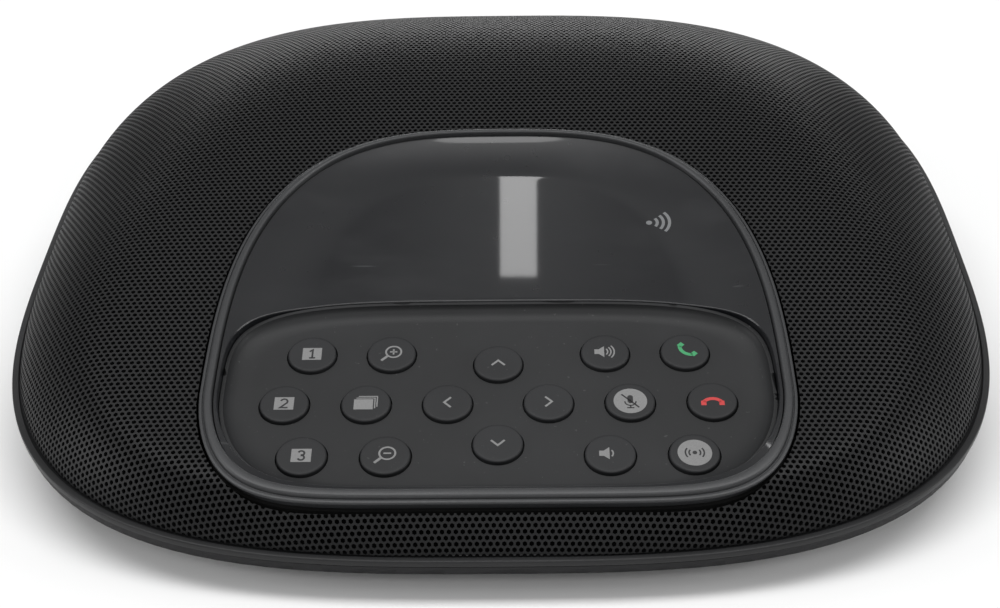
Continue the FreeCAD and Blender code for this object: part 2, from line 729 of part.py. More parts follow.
def speaker_chamber():
    """The sealed tub behind the loudspeaker, with four screw pillars."""
    tub = cylinder(CHAMBER_RADIUS, -CHAMBER_DEPTH, -FLANGE_DEPTH)
    tub = tub.cut(cylinder(CHAMBER_RADIUS - CHAMBER_WALL, -CHAMBER_DEPTH + CHAMBER_WALL, 0))
    pillars = []
    holes = []
    for x, y in speaker_screw_places():
        pillars.append(cylinder(PILLAR_RADIUS, -PILLAR_DEPTH, -FLANGE_DEPTH, x, y))
        holes.append(cylinder(SPEAKER_PILOT_RADIUS, -SPEAKER_SCREW_LENGTH - FLANGE_DEPTH, 0, x, y))
    return placed(tub.fuse(pillars).cut(holes), speaker_place())


def speaker_basket():
    """A pressed frame: flange, ledge for the roll, windowed side and a seat for the magnet."""
    windows = []
    for index in range(BASKET_WINDOWS):
        slot = box(*BASKET_WINDOW)
        slot.rotate(Vector(0, 0, 0), Vector(0, 0, 1), 360 / BASKET_WINDOWS * (index + 0.5))
        windows.append(slot)
    holes = [cylinder(SPEAKER_HOLE_RADIUS, -2 * FLANGE_DEPTH, 1, x, y) for x, y in speaker_screw_places()]
    return placed(turned(BASKET_PROFILE).cut(windows + holes), speaker_place())


def speaker_top_plate():
    return placed(ring(*TOP_PLATE), speaker_place())


def speaker_magnet():
    return placed(ring(*MAGNET), speaker_place())


def speaker_pole():
    return placed(turned(POLE_PROFILE), speaker_place())


def voice_coil():
    return placed(ring(*VOICE_COIL), speaker_place())


def speaker_cone():
    return placed(turned(CONE_PROFILE), speaker_place())


def dust_cap():
    """A shallow dome glued over the middle of the cone."""
    centre = Vector(0, 0, CAP_CENTRE)
    ball = Part.makeSphere(CAP_RADII[0], centre).cut(Part.makeSphere(CAP_RADII[1], centre))
    return placed(ball.common(cylinder(CAP_EDGE[0], CAP_EDGE[1], DEEP)), speaker_place())


def speaker_surround():
    """A half-round rubber roll between the cone and the frame."""
    centre = Vector(0, 0, ROLL_LEVEL)
    roll = Part.makeTorus(ROLL_RADIUS, ROLL_OUTER, centre)
    roll = roll.cut(Part.makeTorus(ROLL_RADIUS, ROLL_INNER, centre))
    return placed(roll.common(cylinder(CHAMBER_RADIUS, ROLL_LEVEL, DEEP)), speaker_place())


def speaker_spider():
    """A corrugated cloth disc that centres the voice coil."""
    radii = [SPIDER_INNER + SPIDER_WIDTH * index / SPIDER_FOLDS for index in range(SPIDER_FOLDS + 1)]
    top = [(radius, SPIDER_LEVEL + SPIDER_WAVE * (-1) ** index) for index, radius in enumerate(radii)]
    bottom = [(radius, height - SPIDER_WALL) for radius, height in reversed(top)]
    return placed(turned(top + bottom), speaker_place())


def speaker_gasket():
    notches = [cylinder(GASKET_NOTCH_RADIUS, -1, 2, x, y) for x, y in speaker_screw_places()]
    return placed(ring(*GASKET).cut(notches), speaker_place())


def speaker_screws():
    radius, height = SPEAKER_SCREW_HEAD
    screws = []
    for x, y in speaker_screw_places():
        shank = cylinder(SPEAKER_PILOT_RADIUS, -SPEAKER_SCREW_LENGTH, 0, x, y)
        screws.append(cylinder(radius, 0, height, x, y).fuse(shank))
    return placed(Part.makeCompound(screws), speaker_place())


# Microphones

def microphone(x, y, top):
    return placed(cylinder(MIC_RADIUS, top - MIC_SUNK - MIC_HEIGHT, top - MIC_SUNK, x, y), DISC)


def microphone_boot(x, y, top):
    """A rubber cup that holds one capsule away from the chassis."""
    cup = cylinder(BOOT_RADIUS, top - BOOT_HEIGHT, top, x, y)
    return placed(cup.cut(cylinder(MIC_RADIUS, top - MIC_SUNK - MIC_HEIGHT, top + 1, x, y)), DISC)


def build_nodes():
    """Every node of the unit, by name."""
    nodes = {
        "lower_housing": lower_housing(), "foot_ring": foot_ring(), "housing_screws": housing_screws(),
        "trim_ring": trim_ring(), "grille": grille(), "acoustic_cloth": acoustic_cloth(),
        "chassis": chassis(),
        "console_frame": console_frame(), "bezel_ring": bezel_ring(), "window": window(),
        "keypad_deck": keypad_deck(), "keypad_mat": keypad_mat(), "keypad_board": keypad_board(),
        "switch_domes": switch_domes(), "display_module": display_module(),
        "contactless_antenna": contactless_antenna(),
        "main_board": main_board(), "processor_shield": processor_shield(),
        "wireless_module": wireless_module(), "board_capacitors": board_capacitors(),
        "board_screws": board_screws(),
        "socket_block": socket_block(), "socket_contacts": socket_contacts(), "socket_board": socket_board(),
        "speaker_chamber": speaker_chamber(), "speaker_basket": speaker_basket(),
        "speaker_top_plate": speaker_top_plate(), "speaker_magnet": speaker_magnet(),
        "speaker_pole": speaker_pole(), "voice_coil": voice_coil(), "speaker_cone": speaker_cone(),
        "dust_cap": dust_cap(), "speaker_surround": speaker_surround(), "speaker_spider": speaker_spider(),
        "speaker_gasket": speaker_gasket(), "speaker_screws": speaker_screws(),
    }
    for name, (x, v) in KEYS.items():
        nodes[name] = key(x, v)
    for corner, (x, y, top) in MICROPHONES.items():
        nodes["microphone_" + corner] = microphone(x, y, top)
        nodes["microphone_boot_" + corner] = microphone_boot(x, y, top)
    return nodes


def main():
    os.makedirs("parts", exist_ok=True)
    for name, shape in build_nodes().items():
        shape.exportStep(os.path.join("parts", name + ".step"))


main()
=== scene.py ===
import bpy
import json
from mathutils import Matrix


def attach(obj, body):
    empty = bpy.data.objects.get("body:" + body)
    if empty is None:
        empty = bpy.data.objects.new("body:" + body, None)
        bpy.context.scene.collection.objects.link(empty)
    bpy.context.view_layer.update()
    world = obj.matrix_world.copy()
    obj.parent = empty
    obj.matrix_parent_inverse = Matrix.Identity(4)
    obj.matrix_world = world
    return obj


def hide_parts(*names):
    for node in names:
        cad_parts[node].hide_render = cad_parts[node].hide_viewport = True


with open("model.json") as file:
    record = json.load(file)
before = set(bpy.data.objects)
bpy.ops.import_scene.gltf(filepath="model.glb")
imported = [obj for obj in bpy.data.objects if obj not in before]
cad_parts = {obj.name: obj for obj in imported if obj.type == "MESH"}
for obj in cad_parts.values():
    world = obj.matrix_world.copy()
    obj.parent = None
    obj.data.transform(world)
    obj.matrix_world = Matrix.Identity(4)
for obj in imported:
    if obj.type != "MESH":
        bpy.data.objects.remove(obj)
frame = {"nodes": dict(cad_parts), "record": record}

"""Looks of a conference speakerphone: perforated grille, console, keys, housing and studio.

Drawing is done in millimetres in two local frames. The disc frame lies in the plane of the
rim, which leans towards the user. The console frame lies in the plane of the keypad and the
window. Points are turned into the object's own frame, in metres, when a mesh is made.
"""

import json
import math

import bmesh
import bpy
import numpy as np
from bpy.props import FloatProperty, FloatVectorProperty, IntProperty, PointerProperty
from bpy.types import Operator, Panel, PropertyGroup
from mathutils import Matrix, Vector

bl_info = {
    "name": "Conference speakerphone",
    "version": (1, 0, 0),
    "blender": (4, 5, 0),
    "location": "3D View > Sidebar > Speakerphone",
    "description": "Builds the visible pieces, finishes and studio of a conference speakerphone",
    "category": "Object",
}

MM = 0.001
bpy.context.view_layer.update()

# Body, in the disc frame
BODY_HALF = 120.0
BODY_POWER = 3.07
BODY_TILT = math.radians(6.5)
RIM_HEIGHT = 23.55
GRILLE_HALF = 118.1
DOME_RISE = 38.0
DOME_POWER = 2.97
DOME_ROOT = 1.449
FRONT_SLOPE = math.tan(math.radians(57.0))
FRONT_START = -118.4
CREST_PLACES = (-100.0, 0.0)
CREST_BLENDS = (0.8, 3.0)   # softness where the dome meets the console plane, front and back
FRONT_BLEND = 1.0           # softness where they meet the slope in front of the console

# Console plane and outline
CONSOLE_TILT = math.radians(9.5)
CONSOLE_Y = -110.0
CONSOLE_H = 10.0
INNER_D = np.array((63.4, 31.4, 30.4, 89.5))    # half width, centre, front and back reach
OUTER_D = np.array((66.2, 30.5, 33.1, 92.5))
D_POWERS_FRONT = (7.0, 1.9)
D_POWERS_BACK = (2.95, 2.7)

# Levels along the console normal
BEZEL_TOP = 1.0
WINDOW_RIM = -0.3
WINDOW_FLOOR = -2.5
WINDOW_BOTTOM = -4.4
WINDOW_REACH = 7.0
WINDOW_CURVE = 1.6
WINDOW_EDGE = 0.35          # rounding of the window's edge over the keypad
KEY_TOP = -4.1
KEY_FLANGE_TOP = -6.8
KEY_BOTTOM = -7.4
KEY_RADIUS = 5.55
KEY_FLANGE_RADIUS = 6.5
KEY_EDGE = 0.45
KEY_CROWN_RADII = (4.6, 3.4, 1.8)

# Sunk keypad outline
DISH_CENTRE = 31.0
DISH_HALF = 62.2
DISH_FRONT = 28.2
DISH_BACK = 30.25
DISH_POWERS_FRONT = (6.2, 1.8)
DISH_POWERS_BACK = (4.2, 4.2)

KEY_ROWS = (45.9, 30.35, 14.8)
KEY_STEP = 12.25
KEYS = {
    "key_one": (-42.8, KEY_ROWS[0]),
    "key_zoom_in": (-24.5, KEY_ROWS[0]),
    "key_volume_up": (24.5, KEY_ROWS[0]),
    "key_answer": (42.8, KEY_ROWS[0]),
    "key_two": (-47.9, KEY_ROWS[1]),
    "key_pages": (-29.55, KEY_ROWS[1]),
    "key_left": (-11.3, KEY_ROWS[1]),
    "key_right": (11.3, KEY_ROWS[1]),
    "key_mute": (29.55, KEY_ROWS[1]),
    "key_hang_up": (47.9, KEY_ROWS[1]),
    "key_up": (0.0, KEY_ROWS[1] + KEY_STEP),
    "key_down": (0.0, KEY_ROWS[1] - KEY_STEP),
    "key_three": (-42.8, KEY_ROWS[2]),
    "key_zoom_out": (-24.5, KEY_ROWS[2]),
    "key_volume_down": (24.5, KEY_ROWS[2]),
    "key_wireless": (42.8, KEY_ROWS[2]),
}

# Camera, in the object's own frame
CAMERA_AT = (5.64, -433.97, 235.66)
CAMERA_PITCH = math.radians(-27.665)
CAMERA_YAW = math.radians(0.79)
CAMERA_ROLL = math.radians(0.83)
CAMERA_LENS = 66.21


# ---------------------------------------------------------------------------
# Frames and outlines
# ---------------------------------------------------------------------------

def leant(points, angle, y, z):
    """Points turned about X by an angle and then moved by y and z."""
    points = np.asarray(points, float)
    cos, sin = math.cos(angle), math.sin(angle)
    turned = np.stack([points[..., 0],
                       points[..., 1] * cos - points[..., 2] * sin + y,
                       points[..., 1] * sin + points[..., 2] * cos + z], axis=-1)
    return turned


def from_disc(points):
    """Disc frame to the object's own frame, still in millimetres."""
    return leant(points, BODY_TILT, 0.0, RIM_HEIGHT)


def from_console(points):
    """Console frame to the object's own frame, still in millimetres."""
    return from_disc(leant(points, CONSOLE_TILT, CONSOLE_Y, CONSOLE_H))


def edge_scale(across, along, power_x, power_y):
    """The factor k at which |k.across|^px + |k.along|^py is 1, found by halving."""
    low, high = np.full(across.shape, 0.05), np.full(across.shape, 20.0)
    for _ in range(50):
        middle = (low + high) / 2
        inside = np.abs(middle * across) ** power_x + np.abs(middle * along) ** power_y < 1.0
        low, high = np.where(inside, middle, low), np.where(inside, high, middle)
    return low


def outline_along(rays, sizes, powers_front, powers_back):
    """Where rays from its centre meet a closed superellipse |x/a|^p + |y/b|^q = 1 whose
    front and back halves differ. The sizes are the half width, centre, front and back."""
    half, centre, front, back = sizes
    behind = rays[:, 1] >= 0
    power_x = np.where(behind, powers_back[0], powers_front[0])
    power_y = np.where(behind, powers_back[1], powers_front[1])
    scale = edge_scale(rays[:, 0] / half, rays[:, 1] / np.where(behind, back, front), power_x, power_y)
    return rays * scale[:, None] + (0.0, centre)


def even_rays(sizes, powers_front, powers_back, count):
    """Rays from the centre of an outline that meet it at equal distances along it."""
    angle = np.linspace(0, 2 * np.pi, 8193)
    wide = np.stack([sizes[0] * np.cos(angle), sizes[2] * np.sin(angle)], axis=-1)
    edge = outline_along(wide, sizes, powers_front, powers_back) - (0.0, sizes[1])
    run = np.concatenate([[0], np.cumsum(np.hypot(*np.diff(edge, axis=0).T))])
    stations = np.linspace(0, run[-1], count + 1)[:-1]
    return np.stack([np.interp(stations, run, edge[:, 0]), np.interp(stations, run, edge[:, 1])], axis=-1)


def body_outlines(halves, count):
    """Rounded squares of several half widths, point for point round the body."""
    powers = (BODY_POWER, BODY_POWER)
    rays = even_rays((BODY_HALF, 0.0, BODY_HALF, BODY_HALF), powers, powers, count)
    return [rays * half / BODY_HALF for half in halves]


def console_rays(count):
    return even_rays(OUTER_D, D_POWERS_FRONT, D_POWERS_BACK, count)


def console_outline(place, rays):
    """The console's rounded D: place 0 is the inner edge of the bezel and 1 its outer edge."""
    sizes = INNER_D + place * (OUTER_D - INNER_D)
    return outline_along(rays, sizes, D_POWERS_FRONT, D_POWERS_BACK)


def dish_outline(grow, rays):
    """The edge of the sunk keypad, grown on all sides."""
    sizes = (DISH_HALF + grow, DISH_CENTRE, DISH_FRONT + grow, DISH_BACK + grow)
    return outline_along(rays, sizes, DISH_POWERS_FRONT, DISH_POWERS_BACK)


def dish_rays(count):
    sizes = (DISH_HALF, DISH_CENTRE, DISH_FRONT, DISH_BACK)
    return even_rays(sizes, DISH_POWERS_FRONT, DISH_POWERS_BACK, count)


def console_place(x, v):
    """The place whose outline passes through each point, found by halving."""
    low, high = np.full(x.shape, -9.0), np.full(x.shape, 4.0)
    for _ in range(30):
        middle = (low + high) / 2
        half = INNER_D[0] + middle * (OUTER_D[0] - INNER_D[0])
        centre = INNER_D[1] + middle * (OUTER_D[1] - INNER_D[1])
        front = INNER_D[2] + middle * (OUTER_D[2] - INNER_D[2])
        back = INNER_D[3] + middle * (OUTER_D[3] - INNER_D[3])
        behind = v >= centre
        power_x = np.where(behind, D_POWERS_BACK[0], D_POWERS_FRONT[0])
        power_y = np.where(behind, D_POWERS_BACK[1], D_POWERS_FRONT[1])
        reach = np.where(behind, back, front)
        outside = np.abs(x / half) ** power_x + np.abs((v - centre) / reach) ** power_y > 1.0
        low, high = np.where(outside, middle, low), np.where(outside, high, middle)
    return low


def body_reach(x, y, half):
    """How far out a point lies: 0 at the centre and 1 on the rounded-square outline."""
    return (np.abs(x / half) ** BODY_POWER + np.abs(y / half) ** BODY_POWER) ** (1 / BODY_POWER)


def soft_minimum(first, second, blend):
    """The lower of two heights, rounded where they cross: -b.log(exp(-f/b) + exp(-s/b))."""
    low = np.minimum(first, second)
    return low - blend * np.log1p(np.exp(-np.abs(first - second) / blend))


def grille_height(x, y):
    """Height of the grille above the rim plane: the dome a.(1 - reach^p)^(1/q), lowered
    softly to the console plane and to the slope in front of the console."""
    reach = np.clip(body_reach(x, y, GRILLE_HALF), 0, 1)
    dome = DOME_RISE * (1 - reach ** DOME_POWER) ** (1 / DOME_ROOT)
    console = CONSOLE_H + (y - CONSOLE_Y) * math.tan(CONSOLE_TILT)
    front = (y - FRONT_START) * FRONT_SLOPE
    crest = np.interp(y, CREST_PLACES, CREST_BLENDS)
    height = soft_minimum(soft_minimum(dome, console, crest), front, FRONT_BLEND)
    return np.maximum(height, 0.0)


# ---------------------------------------------------------------------------
# Meshes
# ---------------------------------------------------------------------------

def new_piece(name, points, faces, finish, sharp=35.0):
    """A mesh piece from points in millimetres and rows of corner numbers, shaded smoothly
    except where two faces meet at more than the sharp angle."""
    mesh = bpy.data.meshes.new(name)
    faces = [np.asarray(rows, np.int32) for rows in (faces if isinstance(faces, list) else [faces])]
    corners = np.concatenate([rows.ravel() for rows in faces])
    totals = np.concatenate([np.full(len(rows), rows.shape[1], np.int32) for rows in faces])
    starts = np.concatenate([[0], np.cumsum(totals)[:-1]]).astype(np.int32)
    mesh.vertices.add(len(points))
    mesh.vertices.foreach_set("co", (np.asarray(points, float) * MM).astype(np.float32).ravel())
    mesh.loops.add(len(corners))
    mesh.loops.foreach_set("vertex_index", corners)
    mesh.polygons.add(len(totals))
    mesh.polygons.foreach_set("loop_start", starts)
    mesh.polygons.foreach_set("use_smooth", np.ones(len(totals), bool))
    mesh.update(calc_edges=True)
    mesh.set_sharp_from_angle(angle=math.radians(sharp))
    piece = bpy.data.objects.new(name, mesh)
    bpy.context.scene.collection.objects.link(piece)
    mesh.materials.append(finish)
    return piece


def grid_faces(rows, columns, closed_rows=False, closed_columns=False, first=0):
    """Quads over a grid of rows x columns points, wrapping round where it is closed."""
    i = np.arange(rows if closed_rows else rows - 1)[:, None]
    j = np.arange(columns if closed_columns else columns - 1)[None, :]
    next_i, next_j = (i + 1) % rows, (j + 1) % columns
    quads = np.stack([i * columns + j, next_i * columns + j,
                      next_i * columns + next_j, i * columns + next_j], axis=-1)
    return quads.reshape(-1, 4) + first


def carried(outlines, levels):
    """A closed section carried round closed outlines: one outline and one level for each
    point of the section. The section runs round so that the faces look outwards."""
    rings = [np.column_stack([outline, np.full(len(outline), level)])
             for outline, level in zip(outlines, levels)]
    return np.concatenate(rings), grid_faces(len(rings), len(rings[0]), closed_rows=True, closed_columns=True)


def turned_piece(profile, count):
    """A solid turned about Z from (radius, level) points that start and end on the axis."""
    angle = np.linspace(0, 2 * np.pi, count, endpoint=False)
    radii, levels = np.array(profile)[1:-1].T
    rings = np.stack([radii[:, None] * np.cos(angle), radii[:, None] * np.sin(angle),
                      np.repeat(levels[:, None], count, axis=1)], axis=-1).reshape(-1, 3)
    points = np.concatenate([rings, [[0, 0, profile[0][1]], [0, 0, profile[-1][1]]]])
    around = np.arange(count)
    last = (len(radii) - 1) * count
    low = np.stack([np.full(count, len(rings)), (around + 1) % count, around], axis=-1)
    high = np.stack([np.full(count, len(rings) + 1), last + around, last + (around + 1) % count], axis=-1)
    side = grid_faces(len(radii), count, closed_columns=True)[:, ::-1]
    return points, [side, low, high]


def arc(centre, radius, start, end, count):
    """Points on a circle from one angle to another, in degrees."""
    angle = np.radians(np.linspace(start, end, count))
    return np.stack([centre[0] + radius * np.cos(angle), centre[1] + radius * np.sin(angle)], axis=-1)


def rounded_section(corners, radius, count=4):
    """A closed section with each corner rounded by a short curve."""
    corners = np.asarray(corners, float)
    points = []
    for index, corner in enumerate(corners):
        before, after = corners[index - 1] - corner, corners[(index + 1) % len(corners)] - corner
        reach = min(radius, 0.45 * np.hypot(*before), 0.45 * np.hypot(*after))
        start = corner + before / np.hypot(*before) * reach
        end = corner + after / np.hypot(*after) * reach
        share = np.linspace(0, 1, count)[:, None]
        points.append((1 - share) ** 2 * start + 2 * share * (1 - share) * corner + share ** 2 * end)
    return np.concatenate(points)


# ---------------------------------------------------------------------------
# Finishes
# ---------------------------------------------------------------------------

class Signal:
    """A socket of a node tree that arithmetic can be written on."""

    def __init__(self, finish, socket):
        self.finish = finish
        self.socket = socket

    def maths(self, operation, *values):
        return self.finish.node("ShaderNodeMath", {"operation": operation}, *values)

    def __add__(self, other):
        return self.maths("ADD", self, other)

    def __radd__(self, other):
        return self.maths("ADD", other, self)

    def __sub__(self, other):
        return self.maths("SUBTRACT", self, other)

    def __rsub__(self, other):
        return self.maths("SUBTRACT", other, self)

    def __mul__(self, other):
        return self.maths("MULTIPLY", self, other)

    def between(self, low, high):
        """0 below low, 1 above high and smooth between them."""
        settings = {"interpolation_type": "SMOOTHSTEP", "clamp": True}
        return self.finish.node("ShaderNodeMapRange", settings, self, low, high, 0.0, 1.0)


SOCKETS = {
    "specular": "Specular IOR Level",
    "metallic": "Metallic",
    "coat": "Coat Weight",
    "coat_roughness": "Coat Roughness",
}


class Finish:
    """A material whose patterns are written as expressions."""

    def __init__(self, name, colour, roughness, **constants):
        self.material = bpy.data.materials.new(name)
        self.material.use_nodes = True
        self.tree = self.material.node_tree
        self.tree.nodes.clear()
        self.shader = self.tree.nodes.new("ShaderNodeBsdfPrincipled")
        output = self.tree.nodes.new("ShaderNodeOutputMaterial")
        self.tree.links.new(self.shader.outputs["BSDF"], output.inputs["Surface"])
        self.shader.inputs["Base Color"].default_value = (*colour, 1.0)
        self.shader.inputs["Roughness"].default_value = roughness
        self.material.diffuse_color = (*colour, 1.0)
        for socket, value in constants.items():
            self.shader.inputs[SOCKETS[socket]].default_value = value

    def node(self, kind, settings, *values, out=0, **named):
        """Any node: its type, its settings, and the values or links of its sockets."""
        made = self.tree.nodes.new(kind)
        for key, value in settings.items():
            setattr(made, key, value)
        inputs = [(index, value) for index, value in enumerate(values)]
        inputs += [(key.replace("_", " ").title(), value) for key, value in named.items()]
        for key, value in inputs:
            if isinstance(value, Signal):
                self.tree.links.new(value.socket, made.inputs[key])
            elif value is not None:
                made.inputs[key].default_value = value
        return Signal(self, made.outputs[out])

    def place(self, scale=(1.0, 1.0, 1.0), turn=(0.0, 0.0, 0.0)):
        """Object coordinates in metres, stretched and turned."""
        where = self.node("ShaderNodeTexCoord", {}, out=3)
        return self.node("ShaderNodeMapping", {"vector_type": "POINT"}, where, (0, 0, 0), turn, scale)

    def noise(self, where, scale, detail=3.0, roughness=0.55):
        return self.node("ShaderNodeTexNoise", {}, vector=where, scale=scale, detail=detail,
                         roughness=roughness)

    def mix(self, share, first, second):
        """Two colours mixed by a share."""
        mixed = self.node("ShaderNodeMix", {"data_type": "RGBA"}, share, out=2)
        for index, colour in ((6, first), (7, second)):
            if isinstance(colour, Signal):
                self.tree.links.new(colour.socket, mixed.socket.node.inputs[index])
            else:
                mixed.socket.node.inputs[index].default_value = (*colour, 1.0)
        return mixed

    def feed(self, socket, signal):
        self.tree.links.new(signal.socket, self.shader.inputs[socket])

    def bump(self, height, distance):
        normal = self.node("ShaderNodeBump", {}, strength=1.0, distance=distance, height=height)
        self.feed("Normal", normal)


def scaled(colour, factor):
    return tuple(min(channel * factor, 1.0) for channel in colour)


def moulded(name, colour, roughness, grain=2600.0, depth=0.00002, dust=0.0):
    """Moulded plastic: fine spark-eroded grain, faint patches and a little dust."""
    finish = Finish(name, colour, roughness, specular=0.3)
    where = finish.place()
    fine = finish.noise(where, grain, 2.0)
    broad = finish.noise(where, 38.0, 4.0)
    tone = finish.mix(broad.between(0.35, 0.7), scaled(colour, 0.88), scaled(colour, 1.14))
    if dust:
        specks = finish.noise(where, 900.0, 2.0).between(0.7, 0.78)
        tone = finish.mix(specks * dust, tone, (0.45, 0.45, 0.44))
    finish.feed("Base Color", tone)
    finish.feed("Roughness", roughness - 0.05 + fine * 0.06 + broad * 0.06)
    finish.bump(fine, depth)
    return finish.material


def coated_steel(name, colour, roughness):
    """Powder-coated sheet: orange peel, slight tone changes and rubbed patches."""
    finish = Finish(name, colour, roughness, specular=0.22)
    where = finish.place()
    peel = finish.noise(where, 1500.0, 2.0)
    patch = finish.noise(where, 14.0, 4.0)
    rubbed = finish.noise(finish.place((1.0, 3.5, 1.0), (0.0, 0.0, 0.6)), 22.0, 5.0).between(0.62, 0.75)
    tone = finish.mix(patch.between(0.3, 0.75), scaled(colour, 0.85), scaled(colour, 1.15))
    finish.feed("Base Color", finish.mix(rubbed * 0.25, tone, scaled(colour, 1.6)))
    finish.feed("Roughness", roughness - 0.04 + peel * 0.06 + patch * 0.08 - rubbed * 0.06)
    finish.bump(peel, 0.00001)
    return finish.material


def painted_bezel(name, colour):
    """Satin paint with fine metal flake."""
    finish = Finish(name, colour, 0.4, metallic=0.15, specular=0.45)
    where = finish.place()
    flake = finish.noise(where, 5200.0, 1.0)
    broad = finish.noise(where, 60.0, 3.0)
    finish.feed("Base Color", finish.mix(flake.between(0.45, 0.7), scaled(colour, 0.9), scaled(colour, 1.25)))
    finish.feed("Roughness", 0.34 + broad * 0.1)
    finish.bump(flake, 0.000006)
    return finish.material


def scratch_lines(finish, turn, stretch, threshold):
    """Thin straight scratches: noise stretched far along one direction and cut near its top."""
    where = finish.place((stretch, 1.0, 1.0), (0.0, 0.0, turn))
    return finish.noise(where, 420.0, 1.0).between(threshold, threshold + 0.02)


def smoked_gloss(name, colour):
    """Hard-coated gloss with finger marks and hairline scratches."""
    finish = Finish(name, colour, 0.3, specular=0.3, coat=0.5, coat_roughness=0.03)
    where = finish.place()
    smear = finish.noise(finish.place((1.0, 2.4, 1.0), (0.0, 0.0, 0.4)), 26.0, 5.0).between(0.45, 0.8)
    fine = finish.noise(where, 260.0, 4.0)
    lines = scratch_lines(finish, 0.9, 0.05, 0.76) + scratch_lines(finish, -0.6, 0.06, 0.77)
    finish.feed("Base Color", finish.mix(lines * 0.12 + smear * 0.02, colour, (0.22, 0.23, 0.24)))
    finish.feed("Roughness", 0.26 + smear * 0.1 + fine * 0.04)
    return finish.material


def soft_rubber(name, colour):
    finish = Finish(name, colour, 0.78, specular=0.3)
    grain = finish.noise(finish.place(), 1800.0, 3.0)
    finish.feed("Base Color", finish.mix(grain.between(0.3, 0.7), scaled(colour, 0.85), scaled(colour, 1.2)))
    finish.feed("Roughness", 0.7 + grain * 0.14)
    finish.bump(grain, 0.00002)
    return finish.material


def rolled_metal(name, colour, roughness):
    """Plated or rolled metal with fine directional streaks."""
    finish = Finish(name, colour, roughness, metallic=1.0)
    streak = finish.noise(finish.place((1.0, 14.0, 14.0)), 420.0, 3.0)
    blotch = finish.noise(finish.place(), 90.0, 3.0)
    tone = finish.mix(blotch.between(0.3, 0.7), scaled(colour, 0.86), scaled(colour, 1.08))
    finish.feed("Base Color", tone)
    finish.feed("Roughness", roughness - 0.06 + streak * 0.14)
    finish.bump(streak, 0.000008)
    return finish.material


def circuit_board(name, colour):
    """Solder mask over copper tracks, drawn as stepped bands."""
    finish = Finish(name, colour, 0.35, specular=0.5)
    cells = finish.node("ShaderNodeTexVoronoi", {"feature": "DISTANCE_TO_EDGE"},
                        vector=finish.place(), scale=260.0)
    tracks = 1.0 - cells.between(0.03, 0.07)
    finish.feed("Base Color", finish.mix(tracks, colour, scaled(colour, 2.0)))
    finish.feed("Roughness", 0.3 + tracks * 0.12)
    finish.bump(tracks, 0.00003)
    return finish.material


def woven(name, colour):
    """Open plain weave: two crossed waves of threads."""
    finish = Finish(name, colour, 0.9, specular=0.04)
    across = finish.node("ShaderNodeTexWave", {"bands_direction": "X"}, vector=finish.place(), scale=900.0)
    along = finish.node("ShaderNodeTexWave", {"bands_direction": "Y"}, vector=finish.place(), scale=900.0)
    threads = across * 0.5 + along * 0.5
    finish.feed("Base Color", finish.mix(threads, scaled(colour, 0.5), scaled(colour, 1.6)))
    finish.feed("Roughness", 0.85 + threads * 0.1)
    finish.bump(threads, 0.00008)
    return finish.material


def printed(name, colour):
    """Screen-printed ink with slightly uneven cover."""
    finish = Finish(name, colour, 0.5, specular=0.4)
    grain = finish.noise(finish.place(), 3200.0, 2.0)
    finish.feed("Base Color", finish.mix(grain.between(0.3, 0.7), scaled(colour, 0.92), scaled(colour, 1.05)))
    finish.feed("Roughness", 0.45 + grain * 0.1)
    return finish.material


def paper_floor(name, colour):
    finish = Finish(name, colour, 0.85, specular=0.15)
    broad = finish.noise(finish.place(), 3.0, 3.0)
    finish.feed("Base Color", finish.mix(broad.between(0.3, 0.7), scaled(colour, 0.985), colour))
    return finish.material


# ---------------------------------------------------------------------------
# Sizes and colours that a user would change
# ---------------------------------------------------------------------------

class SpeakerphoneSizes(PropertyGroup):
    hole_pitch: FloatProperty(name="Hole pitch", description="Distance between the holes of the grille",
                              default=0.0015, min=0.001, max=0.004, unit="LENGTH", precision=5)
    hole_width: FloatProperty(name="Hole width", description="Width of each hole of the grille",
                              default=0.00094, min=0.0004, max=0.003, unit="LENGTH", precision=5)
    sheet: FloatProperty(name="Sheet", description="Thickness of the grille's sheet steel",
                         default=0.0007, min=0.0003, max=0.001, unit="LENGTH", precision=5)
    turns: IntProperty(name="Round steps", description="Steps round each key", default=72, min=24, max=160)
    outline: IntProperty(name="Outline steps", description="Steps round the body and the console",
                         default=420, min=120, max=900)


class SpeakerphoneColours(PropertyGroup):
    grille: FloatVectorProperty(name="Grille", description="Coat of the steel grille", subtype="COLOR",
                                default=(0.009, 0.0092, 0.0098), min=0, max=1)
    trim: FloatVectorProperty(name="Trim", description="Band round the foot of the grille", subtype="COLOR",
                              default=(0.014, 0.0142, 0.015), min=0, max=1)
    bezel: FloatVectorProperty(name="Bezel", description="Paint of the console bezel", subtype="COLOR",
                               default=(0.034, 0.035, 0.037), min=0, max=1)
    window: FloatVectorProperty(name="Window", description="Smoked display window", subtype="COLOR",
                                default=(0.004, 0.0045, 0.006), min=0, max=1)
    deck: FloatVectorProperty(name="Deck", description="Sunk keypad deck", subtype="COLOR",
                              default=(0.013, 0.0135, 0.0145), min=0, max=1)
    key: FloatVectorProperty(name="Keys", description="Key caps", subtype="COLOR",
                             default=(0.014, 0.0145, 0.0158), min=0, max=1)
    ink: FloatVectorProperty(name="Ink", description="Pale printing on the keys", subtype="COLOR",
                             default=(0.2, 0.2, 0.2), min=0, max=1)
    housing: FloatVectorProperty(name="Housing", description="Lower housing", subtype="COLOR",
                                 default=(0.008, 0.008, 0.009), min=0, max=1)
    floor: FloatVectorProperty(name="Floor", description="Studio floor", subtype="COLOR",
                               default=(0.86, 0.86, 0.86), min=0, max=1)


def sizes():
    return bpy.context.scene.speakerphone_sizes


def colours():
    return bpy.context.scene.speakerphone_colours


